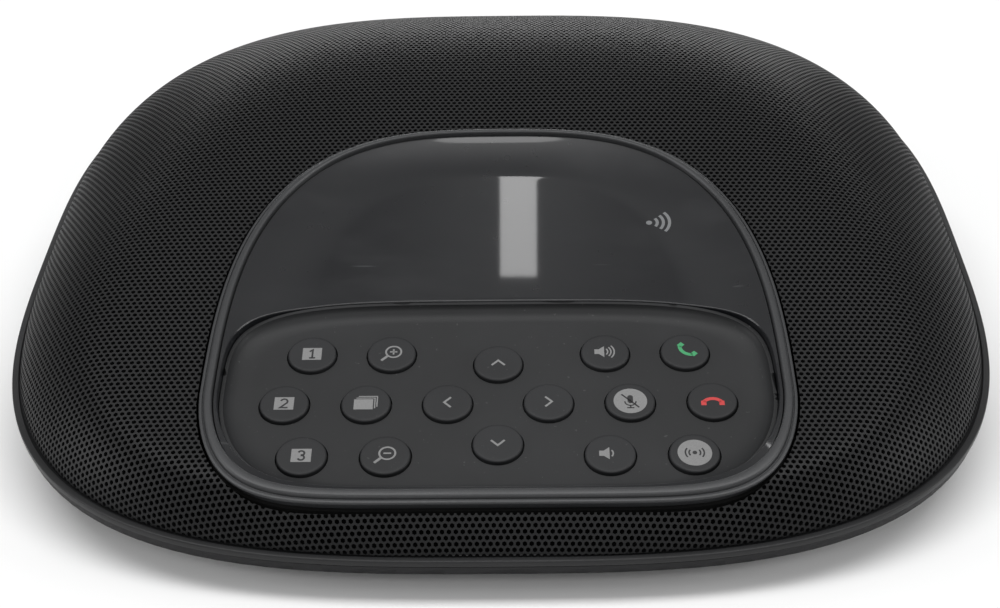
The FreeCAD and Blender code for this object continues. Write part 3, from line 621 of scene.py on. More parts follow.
def settle(piece, body, slot, *nodes):
    """The piece rides on a body and stands for CAD nodes, which it hides. The slot is not used."""
    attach(piece, body)
    if nodes:
        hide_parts(*nodes)


# ---------------------------------------------------------------------------
# Grille
# ---------------------------------------------------------------------------

RADIAL_STEPS = 700
ANGLE_STEPS = 720


def sheet_map():
    """For each direction from the centre, the distance in the flat sheet at each distance on
    the body: the length along the domed surface."""
    angle = np.linspace(0, 2 * np.pi, ANGLE_STEPS + 1)
    across, along = np.cos(angle), np.sin(angle)
    reach = GRILLE_HALF / (np.abs(across) ** BODY_POWER + np.abs(along) ** BODY_POWER) ** (1 / BODY_POWER)
    share = np.sin(np.linspace(0, np.pi / 2, RADIAL_STEPS))
    radius = reach[:, None] * share
    height = grille_height(radius * across[:, None], radius * along[:, None])
    length = np.hypot(np.diff(radius, axis=1), np.diff(height, axis=1)).cumsum(axis=1)
    length = np.concatenate([np.zeros((len(angle), 1)), length], axis=1)
    return angle, radius, length


def onto_body(flat, table):
    """Points of the flat sheet laid on the body, and whether each lies inside the rim."""
    angle, radius, sheet = table
    direction = np.mod(np.arctan2(flat[:, 1], flat[:, 0]), 2 * np.pi)
    distance = np.hypot(flat[:, 0], flat[:, 1])
    column = direction / (angle[1] - angle[0])
    left = np.minimum(column.astype(int), ANGLE_STEPS - 1)
    share = column - left
    result = np.zeros(len(flat))
    edge = sheet[left, -1] * (1 - share) + sheet[left + 1, -1] * share
    for offset, weight in ((0, 1 - share), (1, share)):
        rows = left + offset
        low = np.zeros(len(flat), int)
        high = np.full(len(flat), RADIAL_STEPS - 1)
        for _ in range(11):
            middle = (low + high) // 2
            short = sheet[rows, middle] <= distance
            low, high = np.where(short, middle, low), np.where(short, high, middle)
        low = np.minimum(low, RADIAL_STEPS - 2)
        step = sheet[rows, low + 1] - sheet[rows, low]
        part = np.clip((distance - sheet[rows, low]) / np.maximum(step, 1e-9), 0, 1)
        result += weight * (radius[rows, low] * (1 - part) + radius[rows, low + 1] * part)
    body = np.stack([result * np.cos(direction), result * np.sin(direction)], axis=-1)
    return body, distance < edge


def console_from_disc(x, y):
    """Where a point of the grille's plan lies along the console plane."""
    height = CONSOLE_H + (y - CONSOLE_Y) * math.tan(CONSOLE_TILT)
    return (y - CONSOLE_Y) * math.cos(CONSOLE_TILT) + (height - CONSOLE_H) * math.sin(CONSOLE_TILT)


def pushed_out(plan, edge):
    """Points inside the console outline are moved out to it, along the steepest way."""
    for _ in range(4):
        v = console_from_disc(plan[:, 0], plan[:, 1])
        place = console_place(plan[:, 0], v)
        step = 0.05
        slope_x = (console_place(plan[:, 0] + step, v) - place) / step
        slope_y = (console_place(plan[:, 0], v + step) - place) / step
        short = np.where(place < edge, edge - place, 0.0)
        steep = np.maximum(slope_x ** 2 + slope_y ** 2, 1e-6)
        plan = plan + (short / steep)[:, None] * np.stack([slope_x, slope_y], axis=-1)
    return plan


def hole_lattice(pitch, width, reach):
    """A staggered lattice of six-cornered holes in the flat sheet and the web between them:
    a quad across each gap and a triangle at each meeting of three holes."""
    rows = int(reach / (pitch * math.sqrt(0.75))) + 2
    columns = int(reach / pitch) + 2
    j, i = np.meshgrid(np.arange(-rows, rows + 1), np.arange(-columns, columns + 1), indexing="ij")
    stagger = np.mod(j, 2) * 0.5
    centres = np.stack([(i + stagger) * pitch, j * pitch * math.sqrt(0.75)], axis=-1)
    corner = np.radians(30 + 60 * np.arange(6))
    ring = width / math.sqrt(3) * 1.04 * np.stack([np.cos(corner), np.sin(corner)], axis=-1)
    points = centres[:, :, None, :] + ring
    count_rows, count_columns = j.shape
    number = np.arange(count_rows * count_columns).reshape(j.shape)
    odd = np.mod(j, 2).astype(bool)
    here = number[:-1, 1:-1]
    east = number[:-1, 2:]
    north_east = np.where(odd[:-1, 1:-1], number[1:, 2:], number[1:, 1:-1])
    north_west = np.where(odd[:-1, 1:-1], number[1:, 1:-1], number[1:, :-2])

    def faces(*pairs):
        return np.stack([hole.ravel() * 6 + corner for hole, corner in pairs], axis=-1)

    quads = np.concatenate([faces((here, 0), (here, 5), (east, 3), (east, 2)),
                            faces((here, 0), (north_east, 4), (north_east, 3), (here, 1)),
                            faces((here, 1), (north_west, 5), (north_west, 4), (here, 2))])
    triangles = np.concatenate([faces((here, 0), (east, 2), (north_east, 4)),
                                faces((here, 1), (north_east, 3), (north_west, 5))])
    halves = np.concatenate([quads[:, [0, 1, 2]], quads[:, [0, 2, 3]]])
    return points.reshape(-1, 2), np.concatenate([triangles, halves])


def surface_normals(plan):
    """Unit normals of the grille surface, from its height a little to each side."""
    step = 0.02
    x, y = plan[:, 0], plan[:, 1]
    x, y = x * NORMAL_SHRINK, y * NORMAL_SHRINK
    slope_x = (grille_height(x + step, y) - grille_height(x - step, y)) / (2 * step)
    slope_y = (grille_height(x, y + step) - grille_height(x, y - step)) / (2 * step)
    normal = np.stack([-slope_x, -slope_y, np.ones(len(plan))], axis=-1)
    return normal / np.linalg.norm(normal, axis=1, keepdims=True)


def thickened(points, inner, triangles):
    """A closed sheet: the outer triangles, the same ones turned over on the inner points, and
    a wall along every edge that only one triangle uses."""
    used, compact = np.unique(triangles, return_inverse=True)
    triangles = compact.reshape(-1, 3)
    points, inner = points[used], inner[used]
    count = len(used)
    edges = triangles[:, [0, 1, 1, 2, 2, 0]].reshape(-1, 2)
    low, high = edges.min(axis=1).astype(np.int64), edges.max(axis=1).astype(np.int64)
    _, first, times = np.unique(low * count + high, return_index=True, return_counts=True)
    border = edges[first[times == 1]]
    walls = np.stack([border[:, 1], border[:, 0], border[:, 0] + count, border[:, 1] + count], axis=-1)
    return np.concatenate([points, inner]), [np.concatenate([triangles, triangles[:, ::-1] + count]), walls]


NORMAL_SHRINK = 0.9998      # keeps the slope off the vertical at the rim
GRILLE_EDGE = 1.18          # the sheet's edge, in widths of the bezel


class SPEAKERPHONE_OT_grille(Operator):
    """Perforated steel grille, cut round the console"""
    bl_idname = "speakerphone.grille"
    bl_label = "Grille"

    def execute(self, context):
        size = sizes()
        table = sheet_map()
        flat, triangles = hole_lattice(size.hole_pitch / MM, size.hole_width / MM, table[2].max())
        plan, inside = onto_body(flat, table)
        outside_console = console_place(plan[:, 0], console_from_disc(plan[:, 0], plan[:, 1])) > GRILLE_EDGE
        keep = inside[triangles].any(axis=1) & outside_console[triangles].any(axis=1)
        triangles = triangles[keep]
        plan = pushed_out(plan, GRILLE_EDGE)
        points = np.column_stack([plan, grille_height(plan[:, 0], plan[:, 1])])
        inner = points - surface_normals(plan) * size.sheet / MM
        inner[:, 2] = np.maximum(inner[:, 2], -0.4)
        area = np.linalg.norm(np.cross(points[triangles[:, 1]] - points[triangles[:, 0]],
                                       points[triangles[:, 2]] - points[triangles[:, 0]]), axis=1)
        triangles = triangles[area > 1e-5]
        middle = plan[triangles].mean(axis=1)
        parts = {"grille_front_left": (middle[:, 0] < 0) & (middle[:, 1] < -20),
                 "grille_front_right": (middle[:, 0] >= 0) & (middle[:, 1] < -20),
                 "grille_back_left": (middle[:, 0] < 0) & (middle[:, 1] >= -20),
                 "grille_back_right": (middle[:, 0] >= 0) & (middle[:, 1] >= -20)}
        coat = coated_steel("grille_coat", colours().grille, 0.46)
        outer, under = from_disc(points), from_disc(inner)
        for name, mask in parts.items():
            piece = new_piece(name, *thickened(outer, under, triangles[mask]), coat)
            settle(piece, "base", "grille", "grille")
        return {"FINISHED"}


CLOTH_DEPTH = 1.2           # top of the cloth below the top of the grille
CLOTH_WALL = 0.3
CLOTH_EDGE = 1.4            # the cloth's edge, in widths of the bezel


class SPEAKERPHONE_OT_cloth(Operator):
    """Acoustic cloth stretched just below the grille. Rings run from the console's outline
    out to the rim, in equal shares of the way, and each point drops along the normal."""
    bl_idname = "speakerphone.cloth"
    bl_label = "Acoustic cloth"

    def execute(self, context):
        finish = woven("cloth_weave", (0.002, 0.002, 0.002))
        rays = even_rays((BODY_HALF, 0.0, BODY_HALF, BODY_HALF), (BODY_POWER,) * 2, (BODY_POWER,) * 2, 360)
        outer = rays * (GRILLE_HALF - CLOTH_DEPTH) / BODY_HALF
        start = np.array((0.0, CONSOLE_Y + INNER_D[1] * math.cos(CONSOLE_TILT)))
        low, high = np.zeros(len(outer)), np.ones(len(outer))
        for _ in range(30):
            middle = (low + high) / 2
            plan = start + (outer - start) * middle[:, None]
            short = console_place(plan[:, 0], console_from_disc(plan[:, 0], plan[:, 1])) < CLOTH_EDGE
            low, high = np.where(short, middle, low), np.where(short, high, middle)
        inner = start + (outer - start) * high[:, None]
        shares = np.sin(np.linspace(0, np.pi / 2, 90))
        plan = (inner + (outer - inner) * shares[:, None, None]).reshape(-1, 2)
        points = np.column_stack([plan, grille_height(plan[:, 0], plan[:, 1])])
        normals = surface_normals(plan)
        top, base = (points - normals * depth for depth in (CLOTH_DEPTH, CLOTH_DEPTH + CLOTH_WALL))
        count = len(outer)
        rings = np.concatenate([top.reshape(-1, count, 3), base.reshape(-1, count, 3)[::-1]])
        rings[..., 2] = np.maximum(rings[..., 2], 0.05)
        faces = grid_faces(len(rings), count, closed_rows=True, closed_columns=True)[:, ::-1]
        piece = new_piece("acoustic_cloth_sheet", from_disc(rings.reshape(-1, 3)), faces, finish)
        settle(piece, "base", "cloth", "acoustic_cloth")
        return {"FINISHED"}


# ---------------------------------------------------------------------------
# Trim and bezel
# ---------------------------------------------------------------------------

# Sections: half width and level of the trim; place across the bezel and level of the bezel
TRIM_SECTION = ((115.7, -0.5), (118.4, -0.5), (118.5, -0.05), (BODY_HALF, -0.05), (BODY_HALF, -1.65),
                (118.75, -1.65), (118.75, -2.15), (115.7, -2.15))
TRIM_ROUNDING = 0.4
BEZEL_SECTION = ((0.0, -2.85), (0.0, BEZEL_TOP - 0.35), (0.1, BEZEL_TOP), (0.58, BEZEL_TOP - 0.05),
                 (0.65, 0.35), (0.68, 0.0), (0.74, 0.0), (0.76, 0.33), (0.97, 0.3), (1.0, 0.1),
                 (1.0, -0.42), (0.74, -0.42), (0.74, -2.85))
BEZEL_ROUNDING = 0.28


class SPEAKERPHONE_OT_trim(Operator):
    """Band round the foot of the grille: a narrow ledge, a rounded edge and a tongue"""
    bl_idname = "speakerphone.trim"
    bl_label = "Trim band"

    def execute(self, context):
        section = rounded_section(TRIM_SECTION, TRIM_ROUNDING)
        points, faces = carried(body_outlines(section[:, 0], sizes().outline), section[:, 1])
        finish = moulded("trim_satin", colours().trim, 0.42, depth=0.00001)
        settle(new_piece("trim_band", from_disc(points), faces, finish), "base", "trim", "trim_ring")
        return {"FINISHED"}


class SPEAKERPHONE_OT_bezel(Operator):
    """Raised bezel round the console: an inner band, a groove and a lower outer step"""
    bl_idname = "speakerphone.bezel"
    bl_label = "Bezel"

    def execute(self, context):
        section = rounded_section(BEZEL_SECTION, BEZEL_ROUNDING)
        rays = console_rays(sizes().outline)
        points, faces = carried([console_outline(place, rays) for place in section[:, 0]], section[:, 1])
        finish = painted_bezel("bezel_paint", colours().bezel)
        settle(new_piece("bezel", from_console(points), faces, finish), "base", "bezel", "bezel_ring")
        return {"FINISHED"}


# ---------------------------------------------------------------------------
# Window
# ---------------------------------------------------------------------------

def window_level(x, v):
    """The window's top: flat in the middle, rising towards the bezel as share^c."""
    share = np.clip((console_place(x, v) + WINDOW_REACH) / (WINDOW_REACH - 0.1), 0, 1)
    return WINDOW_FLOOR + (WINDOW_RIM - WINDOW_FLOOR) * share ** WINDOW_CURVE


class SPEAKERPHONE_OT_window(Operator):
    """Gloss window behind the keypad, carried on as a thin strip round it"""
    bl_idname = "speakerphone.window"
    bl_label = "Display window"

    def execute(self, context):
        count = 480
        rays = dish_rays(count)
        inner = dish_outline(0.15, rays)
        outer = console_outline(-0.08, rays)
        run = np.hypot(*(outer - inner).T)
        points = [np.column_stack([inner, np.full(count, WINDOW_BOTTOM)])]
        for angle in np.linspace(0, np.pi / 2, 5)[:-1]:
            share = np.minimum(WINDOW_EDGE * (1 - math.cos(angle)) / run, 0.3)[:, None]
            ring = inner * (1 - share) + outer * share
            level = window_level(ring[:, 0], ring[:, 1]) - WINDOW_EDGE * (1 - math.sin(angle))
            points.append(np.column_stack([ring, level]))
        begin = np.minimum(WINDOW_EDGE / run, 0.3)
        for share in np.linspace(0, 1, 60):
            blend = (begin + (1 - begin) * share)[:, None]
            ring = inner * (1 - blend) + outer * blend
            points.append(np.column_stack([ring, window_level(ring[:, 0], ring[:, 1])]))
        points.append(np.column_stack([outer, np.full(count, WINDOW_BOTTOM)]))
        faces = grid_faces(len(points), count, closed_rows=True, closed_columns=True)
        finish = smoked_gloss("window_gloss", colours().window)
        piece = new_piece("display_window", from_console(np.concatenate(points)), faces, finish)
        settle(piece, "base", "window", "window")
        return {"FINISHED"}


# ---------------------------------------------------------------------------
# Keys and their marks
# ---------------------------------------------------------------------------

class SPEAKERPHONE_OT_keys(Operator):
    """Sixteen round key caps with eased edges and a flange below the deck"""
    bl_idname = "speakerphone.keys"
    bl_label = "Keys"

    def execute(self, context):
        finish = moulded("key_matt", colours().key, 0.5, grain=3000.0, depth=0.000012, dust=0.05)
        rounded = arc((KEY_RADIUS - KEY_EDGE, KEY_TOP - KEY_EDGE), KEY_EDGE, 0, 90, 7)
        crown = [(radius, KEY_TOP) for radius in KEY_CROWN_RADII]
        profile = [(0, KEY_BOTTOM), (KEY_FLANGE_RADIUS, KEY_BOTTOM), (KEY_FLANGE_RADIUS, KEY_FLANGE_TOP),
                   (KEY_RADIUS, KEY_FLANGE_TOP), *map(tuple, rounded), *crown, (0, KEY_TOP)]
        points, faces = turned_piece(profile, sizes().turns)
        for name, (x, v) in KEYS.items():
            piece = new_piece(name + "_cap", from_console(points + np.array((x, v, 0.0))), faces, finish)
            settle(piece, name, "key", name)
        return {"FINISHED"}


PRINT_LOW = KEY_TOP - 0.05
PRINT_HIGH = KEY_TOP + 0.02
OVERPRINT = 0.03            # a second ink stands this far above the first
TILE_SIZE = (4.4, 3.8)
DISC_RADIUS = 3.75
DIGIT_WIDTH = 0.42


def stroke(path, width, low, high, closed=False):
    """A flat band of one width carried along a path, as a closed strip with square ends."""
    path = np.asarray(path, float)
    if closed:
        before, after = path - np.roll(path, 1, axis=0), np.roll(path, -1, axis=0) - path
    else:
        steps = np.diff(path, axis=0)
        before, after = np.concatenate([steps[:1], steps]), np.concatenate([steps, steps[-1:]])
    before = before / np.linalg.norm(before, axis=1, keepdims=True)
    after = after / np.linalg.norm(after, axis=1, keepdims=True)
    tangent = before + after
    tangent = tangent / np.linalg.norm(tangent, axis=1, keepdims=True)
    half = width / 2 / np.maximum((tangent * after).sum(axis=1), 0.4)
    side = np.stack([-tangent[:, 1], tangent[:, 0]], axis=-1) * half[:, None]
    corners = [(path + side, low), (path - side, low), (path - side, high), (path + side, high)]
    points = np.stack([np.column_stack([flat, np.full(len(path), level)]) for flat, level in corners], axis=1)
    faces = [grid_faces(len(path), 4, closed_rows=closed, closed_columns=True)[:, ::-1]]
    if not closed:
        last = (len(path) - 1) * 4
        faces.append(np.array([[0, 1, 2, 3], [last + 3, last + 2, last + 1, last]])[:, ::-1])
    return points.reshape(-1, 3), np.concatenate(faces)


def plate(outline, low, high):
    """A flat plate inside an outline that its middle sees all of: a fan above and below."""
    outline = np.asarray(outline, float)
    count = len(outline)
    middle = outline.mean(axis=0)
    points = np.concatenate([np.column_stack([outline, np.full(count, low)]),
                             np.column_stack([outline, np.full(count, high)]),
                             [[*middle, low], [*middle, high]]])
    around = np.arange(count)
    ahead = (around + 1) % count
    walls = np.stack([around, ahead, ahead + count, around + count], axis=-1)
    top = np.stack([around + count, ahead + count, np.full(count, 2 * count + 1)], axis=-1)
    base = np.stack([ahead, around, np.full(count, 2 * count)], axis=-1)
    return points, walls, np.concatenate([top, base])


def rectangle(width, height, x=0.0, y=0.0):
    return [(x - width / 2, y - height / 2), (x + width / 2, y - height / 2),
            (x + width / 2, y + height / 2), (x - width / 2, y + height / 2)]


class Mark:
    """The flat printed shapes of one symbol, gathered into one mesh."""

    def __init__(self, low=PRINT_LOW, high=PRINT_HIGH):
        self.low, self.high = low, high
        self.points, self.quads, self.triangles = [], [], []
        self.count = 0

    def add(self, points, quads, triangles=None):
        self.points.append(points)
        self.quads.append(quads + self.count)
        if triangles is not None:
            self.triangles.append(triangles + self.count)
        self.count += len(points)

    def line(self, path, width, closed=False):
        self.add(*stroke(path, width, self.low, self.high, closed))

    def fill(self, outline):
        self.add(*plate(outline, self.low, self.high))

    def ring(self, x, y, radius, width):
        self.line(arc((x, y), radius, 0, 360, 41)[:-1], width, closed=True)

    def piece(self, name, finish, x, v):
        faces = [np.concatenate(self.quads)]
        if self.triangles:
            faces.append(np.concatenate(self.triangles))
        points = np.concatenate(self.points) + np.array((x, v, 0.0))
        return new_piece(name, from_console(points), faces, finish)


def speaker_symbol(mark, waves):
    """A loudspeaker seen from the side, with sound waves."""
    mark.fill(rectangle(1.0, 1.5, -1.95, 0))
    mark.fill([(-1.45, -0.75), (-0.2, -1.75), (-0.2, 1.75), (-1.45, 0.75)])
    for index in range(waves):
        mark.line(arc((-0.75, 0), 1.35 + 0.75 * index, -42, 42, 12), 0.34)


def magnifier_symbol(mark, plus):
    """A magnifying glass with a plus or a minus sign."""
    mark.ring(0.45, 0.45, 1.75, 0.42)
    mark.line([(-0.85, -0.85), (-2.3, -2.3)], 0.62)
    mark.line([(-0.4, 0.45), (1.3, 0.45)], 0.4)
    if plus:
        mark.line([(0.45, -0.4), (0.45, 1.3)], 0.4)


def chevron_symbol(mark, turn):
    """An open arrow head, turned by whole quarters."""
    points = np.array([(-1.5, -0.75), (0, 0.75), (1.5, -0.75)])
    angle = math.radians(90 * turn)
    matrix = np.array([[math.cos(angle), math.sin(angle)], [-math.sin(angle), math.cos(angle)]])
    mark.line(points @ matrix, 0.48)


def pages_symbol(mark):
    """A sheet with the edges of two more behind it."""
    mark.fill(rectangle(4.3, 3.1, -0.55, -0.45))
    mark.line([(-2.2, 1.45), (2.0, 1.45), (2.0, -1.7)], 0.28)
    mark.line([(-1.7, 1.95), (2.5, 1.95), (2.5, -1.2)], 0.28)


def handset_symbol(mark, turn, scale):
    """A telephone handset: a curved grip with a block at each end, turned by an angle."""
    grip = arc((0, -2.2), 3.0, 40, 140, 25)
    ends = [rectangle(1.35, 1.55, -2.35, -0.75), rectangle(1.35, 1.55, 2.35, -0.75)]
    angle = math.radians(turn)
    matrix = scale * np.array([[math.cos(angle), math.sin(angle)], [-math.sin(angle), math.cos(angle)]])
    middle = np.array((0.0, -0.2))
    mark.line((grip + middle) @ matrix, 1.0 * scale)
    for end in ends:
        mark.fill((np.array(end) + middle) @ matrix)


def microphone_symbol(mark):
    """A microphone crossed out."""
    body = np.concatenate([arc((0, 1.1), 0.62, 0, 180, 12), arc((0, -0.1), 0.62, 180, 360, 12)])
    mark.fill(body)
    mark.line(arc((0, -0.15), 1.25, 180, 360, 16), 0.3)
    mark.line([(0, -1.35), (0, -2.1)], 0.3)
    mark.line([(-0.8, -2.1), (0.8, -2.1)], 0.3)
    mark.line([(-1.9, 2.0), (1.9, -2.0)], 0.36)


def radio_symbol(mark):
    """A dot between two pairs of waves."""
    mark.fill(arc((0, 0), 0.5, 0, 345, 24))
    for radius in (1.25, 2.05):
        mark.line(arc((0, 0), radius, -38, 38, 12), 0.34)
        mark.line(arc((0, 0), radius, 142, 218, 12), 0.34)


DIGIT_STROKES = {
    "key_one": [[(-0.6, 0.75), (0.1, 1.25), (0.1, -1.3)], [(-0.6, -1.3), (0.8, -1.3)]],
    "key_two": [np.concatenate([arc((0, 0.55), 0.75, 165, -35, 14), [(-0.8, -1.3), (0.9, -1.3)]])],
    "key_three": [np.concatenate([arc((0, 0.62), 0.66, 160, -80, 14), arc((0, -0.66), 0.7, 80, -160, 14)])],
}


class SPEAKERPHONE_OT_marks(Operator):
    """Printed symbols on the keys"""
    bl_idname = "speakerphone.marks"
    bl_label = "Key symbols"

    def execute(self, context):
        pale = printed("ink_pale", colours().ink)
        dark = printed("ink_dark", (0.012, 0.012, 0.013))
        green = printed("ink_green", (0.045, 0.30, 0.12))
        red = printed("ink_red", (0.52, 0.04, 0.04))
        for name, strokes in DIGIT_STROKES.items():
            tile = Mark()
            tile.fill(rectangle(*TILE_SIZE))
            self.lay(tile, name, "tile", pale)
            digit = Mark(PRINT_LOW, PRINT_HIGH + OVERPRINT)
            for path in strokes:
                digit.line(path, DIGIT_WIDTH)
            self.lay(digit, name, "digit", dark)
        drawn = {
            "key_zoom_in": lambda mark: magnifier_symbol(mark, True),
            "key_zoom_out": lambda mark: magnifier_symbol(mark, False),
            "key_pages": pages_symbol,
            "key_up": lambda mark: chevron_symbol(mark, 0),
            "key_right": lambda mark: chevron_symbol(mark, 3),
            "key_down": lambda mark: chevron_symbol(mark, 2),
            "key_left": lambda mark: chevron_symbol(mark, 1),
            "key_volume_up": lambda mark: speaker_symbol(mark, 3),
            "key_volume_down": lambda mark: speaker_symbol(mark, 1),
        }
        for name, draw in drawn.items():
            mark = Mark()
            draw(mark)
            self.lay(mark, name, "symbol", pale)
        for name, turn, ink in (("key_answer", 135, green), ("key_hang_up", 0, red)):
            mark = Mark()
            handset_symbol(mark, turn, 0.86)
            self.lay(mark, name, "symbol", ink)
        for name, draw in (("key_mute", microphone_symbol), ("key_wireless", radio_symbol)):
            disc = Mark()
            disc.fill(arc((0, 0), DISC_RADIUS, 0, 354, 60))
            self.lay(disc, name, "disc", pale)
            mark = Mark(PRINT_LOW, PRINT_HIGH + OVERPRINT)
            draw(mark)
            self.lay(mark, name, "symbol", dark)
        return {"FINISHED"}

    @staticmethod
    def lay(mark, name, kind, ink):
        settle(mark.piece(name + "_" + kind, ink, *KEYS[name]), name, "key")


CONTACTLESS_AT = (40.1, 88.8)


class SPEAKERPHONE_OT_contactless_mark(Operator):
    """Plain wave symbol behind the window's surface, where a telephone is held"""
    bl_idname = "speakerphone.contactless_mark"
    bl_label = "Contactless mark"

    def execute(self, context):
        mark = Mark(0.0, 0.05)
        for radius in (1.6, 3.1, 4.6):
            mark.line(arc((-3.4, 0), radius + 0.6, -40, 40, 20), 0.75)
        mark.fill(arc((-3.2, 0), 0.75, 0, 345, 24))
        points = np.concatenate(mark.points) + np.array((*CONTACTLESS_AT, 0.0))
        points[:, 2] += window_level(points[:, 0], points[:, 1]) - 0.03
        faces = [np.concatenate(mark.quads), np.concatenate(mark.triangles)]
        ink = printed("ink_window", (0.16, 0.165, 0.17))
        settle(new_piece("contactless_mark", from_console(points), faces, ink), "base", "window")
        return {"FINISHED"}


# ---------------------------------------------------------------------------
# Pieces kept from the CAD model
# ---------------------------------------------------------------------------

def smooth_copy(node, name, finish, sharp=28.0):
    """A merged, smoothly shaded copy of a CAD node."""
    source = frame["nodes"][node]
    mesh = source.data.copy()
    mesh.name = name
    build = bmesh.new()
    build.from_mesh(mesh)
    bmesh.ops.remove_doubles(build, verts=build.verts, dist=1e-6)
    build.to_mesh(mesh)
    build.free()
    mesh.polygons.foreach_set("use_smooth", np.ones(len(mesh.polygons), bool))
    mesh.set_sharp_from_angle(angle=math.radians(sharp))
    mesh.materials.clear()
    mesh.materials.append(finish)
    piece = bpy.data.objects.new(name, mesh)
    bpy.context.scene.collection.objects.link(piece)
    return piece


class SPEAKERPHONE_OT_housing(Operator):
    """Lower housing and sunk keypad deck, smoothed and finished"""
    bl_idname = "speakerphone.housing"
    bl_label = "Housing and deck"

    def execute(self, context):
        shell = moulded("housing_matt", colours().housing, 0.55, grain=1600.0, depth=0.00003, dust=0.04)
        settle(smooth_copy("lower_housing", "housing_shell", shell), "base", "housing", "lower_housing")
        deck = moulded("deck_matt", colours().deck, 0.5, depth=0.000012, dust=0.08)
        settle(smooth_copy("keypad_deck", "deck", deck), "base", "deck", "keypad_deck")
        return {"FINISHED"}


class SPEAKERPHONE_OT_inner_parts(Operator):
    """Finishes for the parts that stay as they are in the CAD model"""
    bl_idname = "speakerphone.inner_parts"
    bl_label = "Inner parts"

    def execute(self, context):
        finishes = {
            "foot_rubber": soft_rubber("foot_rubber_finish", (0.028, 0.028, 0.028)),
            "soft_rubber": soft_rubber("soft_rubber_finish", (0.02, 0.02, 0.02)),
            "silicone": soft_rubber("silicone_finish", (0.14, 0.14, 0.14)),
            "screw_steel": rolled_metal("zinc_finish", (0.46, 0.46, 0.47), 0.36),
            "tinned_steel": rolled_metal("tin_finish", (0.55, 0.55, 0.54), 0.3),
            "copper": rolled_metal("copper_finish", (0.62, 0.30, 0.16), 0.35),
            "contact": rolled_metal("gold_finish", (0.78, 0.56, 0.22), 0.25),
            "capacitor": rolled_metal("can_finish", (0.5, 0.5, 0.52), 0.35),
            "microphone": rolled_metal("capsule_finish", (0.6, 0.6, 0.61), 0.3),
            "board": circuit_board("board_finish", (0.015, 0.09, 0.04)),
            "inner_plastic": moulded("inner_plastic_finish", (0.004, 0.004, 0.004), 0.7),
            "display": smoked_gloss("display_finish", (0.012, 0.014, 0.018)),
            "magnet": soft_rubber("ferrite_finish", (0.05, 0.05, 0.054)),
            "cone": woven("cone_finish", (0.04, 0.04, 0.04)),
            "socket": moulded("socket_finish", (0.015, 0.015, 0.015), 0.5),
        }
        slots = {part["node"]: part["material_slot"] for part in frame["record"]["subparts"]}
        for name, node in frame["nodes"].items():
            if slots[name] in finishes:
                node.data.materials.clear()
                node.data.materials.append(finishes[slots[name]])
        return {"FINISHED"}


# ---------------------------------------------------------------------------
# Stage
# ---------------------------------------------------------------------------

def area_light(name, place, target, width, height, power):
    """A soft rectangular light at a place, looking at a target, in metres and watts."""
    light = bpy.data.lights.new(name, "AREA")
    light.shape = "RECTANGLE"
    light.size, light.size_y = width, height
    light.energy = power
    lamp = bpy.data.objects.new(name, light)
    lamp.location = place
    lamp.rotation_mode = "QUATERNION"
    lamp.rotation_quaternion = (Vector(place) - Vector(target)).to_track_quat("Z", "Y")
    bpy.context.scene.collection.objects.link(lamp)


def camera():
    """The camera: a turn about Z, a lean about X and a roll about its own line of sight."""
    data = bpy.data.cameras.new("camera")
    data.sensor_width = 36.0
    data.lens = CAMERA_LENS
    data.clip_start, data.clip_end = 0.01, 20.0
    holder = bpy.data.objects.new("camera", data)
    turn = Matrix.Rotation(CAMERA_YAW, 3, "Z") @ Matrix.Rotation(CAMERA_PITCH, 3, "X")
    turn = turn @ Matrix.Rotation(CAMERA_ROLL, 3, "Y") @ Matrix.Rotation(math.pi / 2, 3, "X")
    holder.matrix_world = Matrix.Translation(Vector(CAMERA_AT) * MM) @ turn.to_4x4()
    bpy.context.scene.collection.objects.link(holder)
    bpy.context.scene.camera = holder


def studio_sky():
    """An even white world."""
    world = bpy.data.worlds.new("studio")
    bpy.context.scene.world = world
    world.use_nodes = True
    world.node_tree.nodes["Background"].inputs["Color"].default_value = (1.0, 1.0, 1.0, 1.0)
    world.node_tree.nodes["Background"].inputs["Strength"].default_value = WORLD_STRENGTH


# Lights: name, place, target, width and height in metres, power in watts
LIGHTS = (
    ("top_soft", (0.0, 0.02, 1.5), (0.0, 0.0, 0.0), 2.4, 0.5, 20.0),
    ("back_low", (0.0, 1.9, 0.5), (0.0, 0.0, 0.0), 1.6, 0.4, 9.0),
    ("left_low", (-1.4, -0.2, 0.45), (0.0, 0.0, 0.0), 0.6, 0.4, 5.0),
    ("right_low", (1.4, -0.2, 0.45), (0.0, 0.0, 0.0), 0.6, 0.4, 5.0),
    ("front_fill", (0.0, -1.4, 1.0), (0.0, 0.0, 0.0), 1.6, 0.6, 7.0),
    ("panel", (0.003, 0.529, 0.881), (0.0, 0.04, 0.06), 0.029, 0.105, 0.1),
)
WORLD_STRENGTH = 0.3
FLOOR_REACH = 3000.0


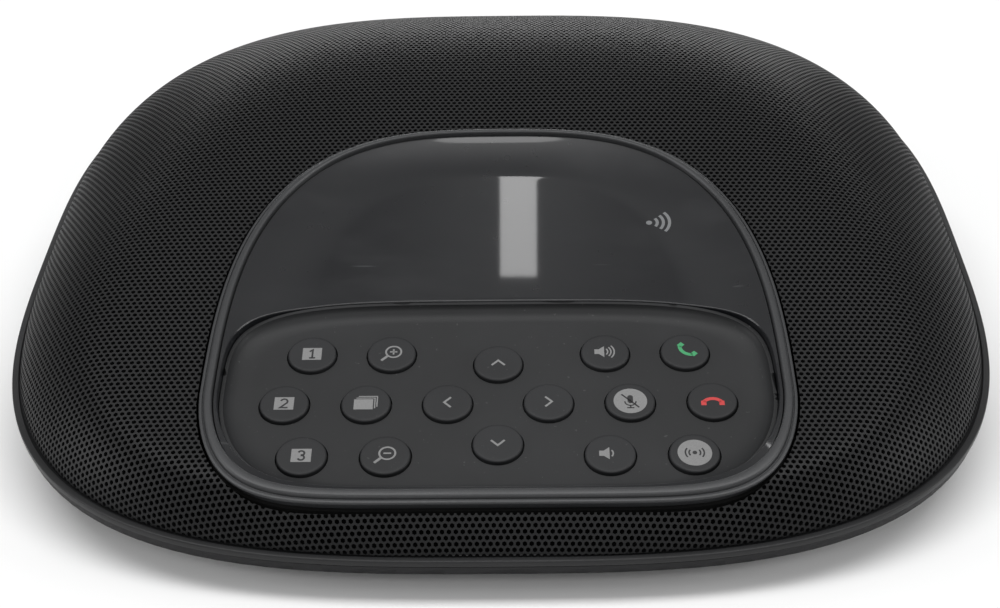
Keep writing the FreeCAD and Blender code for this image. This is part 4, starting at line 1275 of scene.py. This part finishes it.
class SPEAKERPHONE_OT_stage(Operator):
    """Pale floor, soft lights and the camera"""
    bl_idname = "speakerphone.stage"
    bl_label = "Stage"

    def execute(self, context):
        finish = paper_floor("floor_paper", colours().floor)
        reach = FLOOR_REACH
        flat = [(-reach, -reach, 0), (reach, -reach, 0), (reach, reach, 0), (-reach, reach, 0)]
        floor = new_piece("floor", np.array(flat), np.array([[0, 1, 2, 3]]), finish)
        for settings in LIGHTS:
            area_light(*settings)
        studio_sky()
        camera()
        context.scene.view_settings.view_transform = "Standard"
        return {"FINISHED"}


# ---------------------------------------------------------------------------
# Panel and registration
# ---------------------------------------------------------------------------

OPERATORS = (
    SPEAKERPHONE_OT_stage,
    SPEAKERPHONE_OT_inner_parts,
    SPEAKERPHONE_OT_housing,
    SPEAKERPHONE_OT_grille,
    SPEAKERPHONE_OT_cloth,
    SPEAKERPHONE_OT_trim,
    SPEAKERPHONE_OT_bezel,
    SPEAKERPHONE_OT_window,
    SPEAKERPHONE_OT_contactless_mark,
    SPEAKERPHONE_OT_keys,
    SPEAKERPHONE_OT_marks,
)


class SPEAKERPHONE_PT_sidebar(Panel):
    """Sizes, colours and pieces of the speakerphone"""
    bl_idname = "SPEAKERPHONE_PT_sidebar"
    bl_label = "Conference speakerphone"
    bl_space_type = "VIEW_3D"
    bl_region_type = "UI"
    bl_category = "Speakerphone"

    def draw(self, context):
        for group in (context.scene.speakerphone_sizes, context.scene.speakerphone_colours):
            box = self.layout.box()
            for name in group.__annotations__:
                box.prop(group, name)
        for operator in OPERATORS:
            self.layout.operator(operator.bl_idname)


CLASSES = (SpeakerphoneSizes, SpeakerphoneColours, *OPERATORS, SPEAKERPHONE_PT_sidebar)


def register():
    for item in CLASSES:
        bpy.utils.register_class(item)
    bpy.types.Scene.speakerphone_sizes = PointerProperty(type=SpeakerphoneSizes)
    bpy.types.Scene.speakerphone_colours = PointerProperty(type=SpeakerphoneColours)


def unregister():
    del bpy.types.Scene.speakerphone_colours
    del bpy.types.Scene.speakerphone_sizes
    for item in reversed(CLASSES):
        bpy.utils.unregister_class(item)


def main():
    register()
    for operator in OPERATORS:
        group, name = operator.bl_idname.split(".")
        getattr(getattr(bpy.ops, group), name)()


if __name__ == "__main__":
    main()
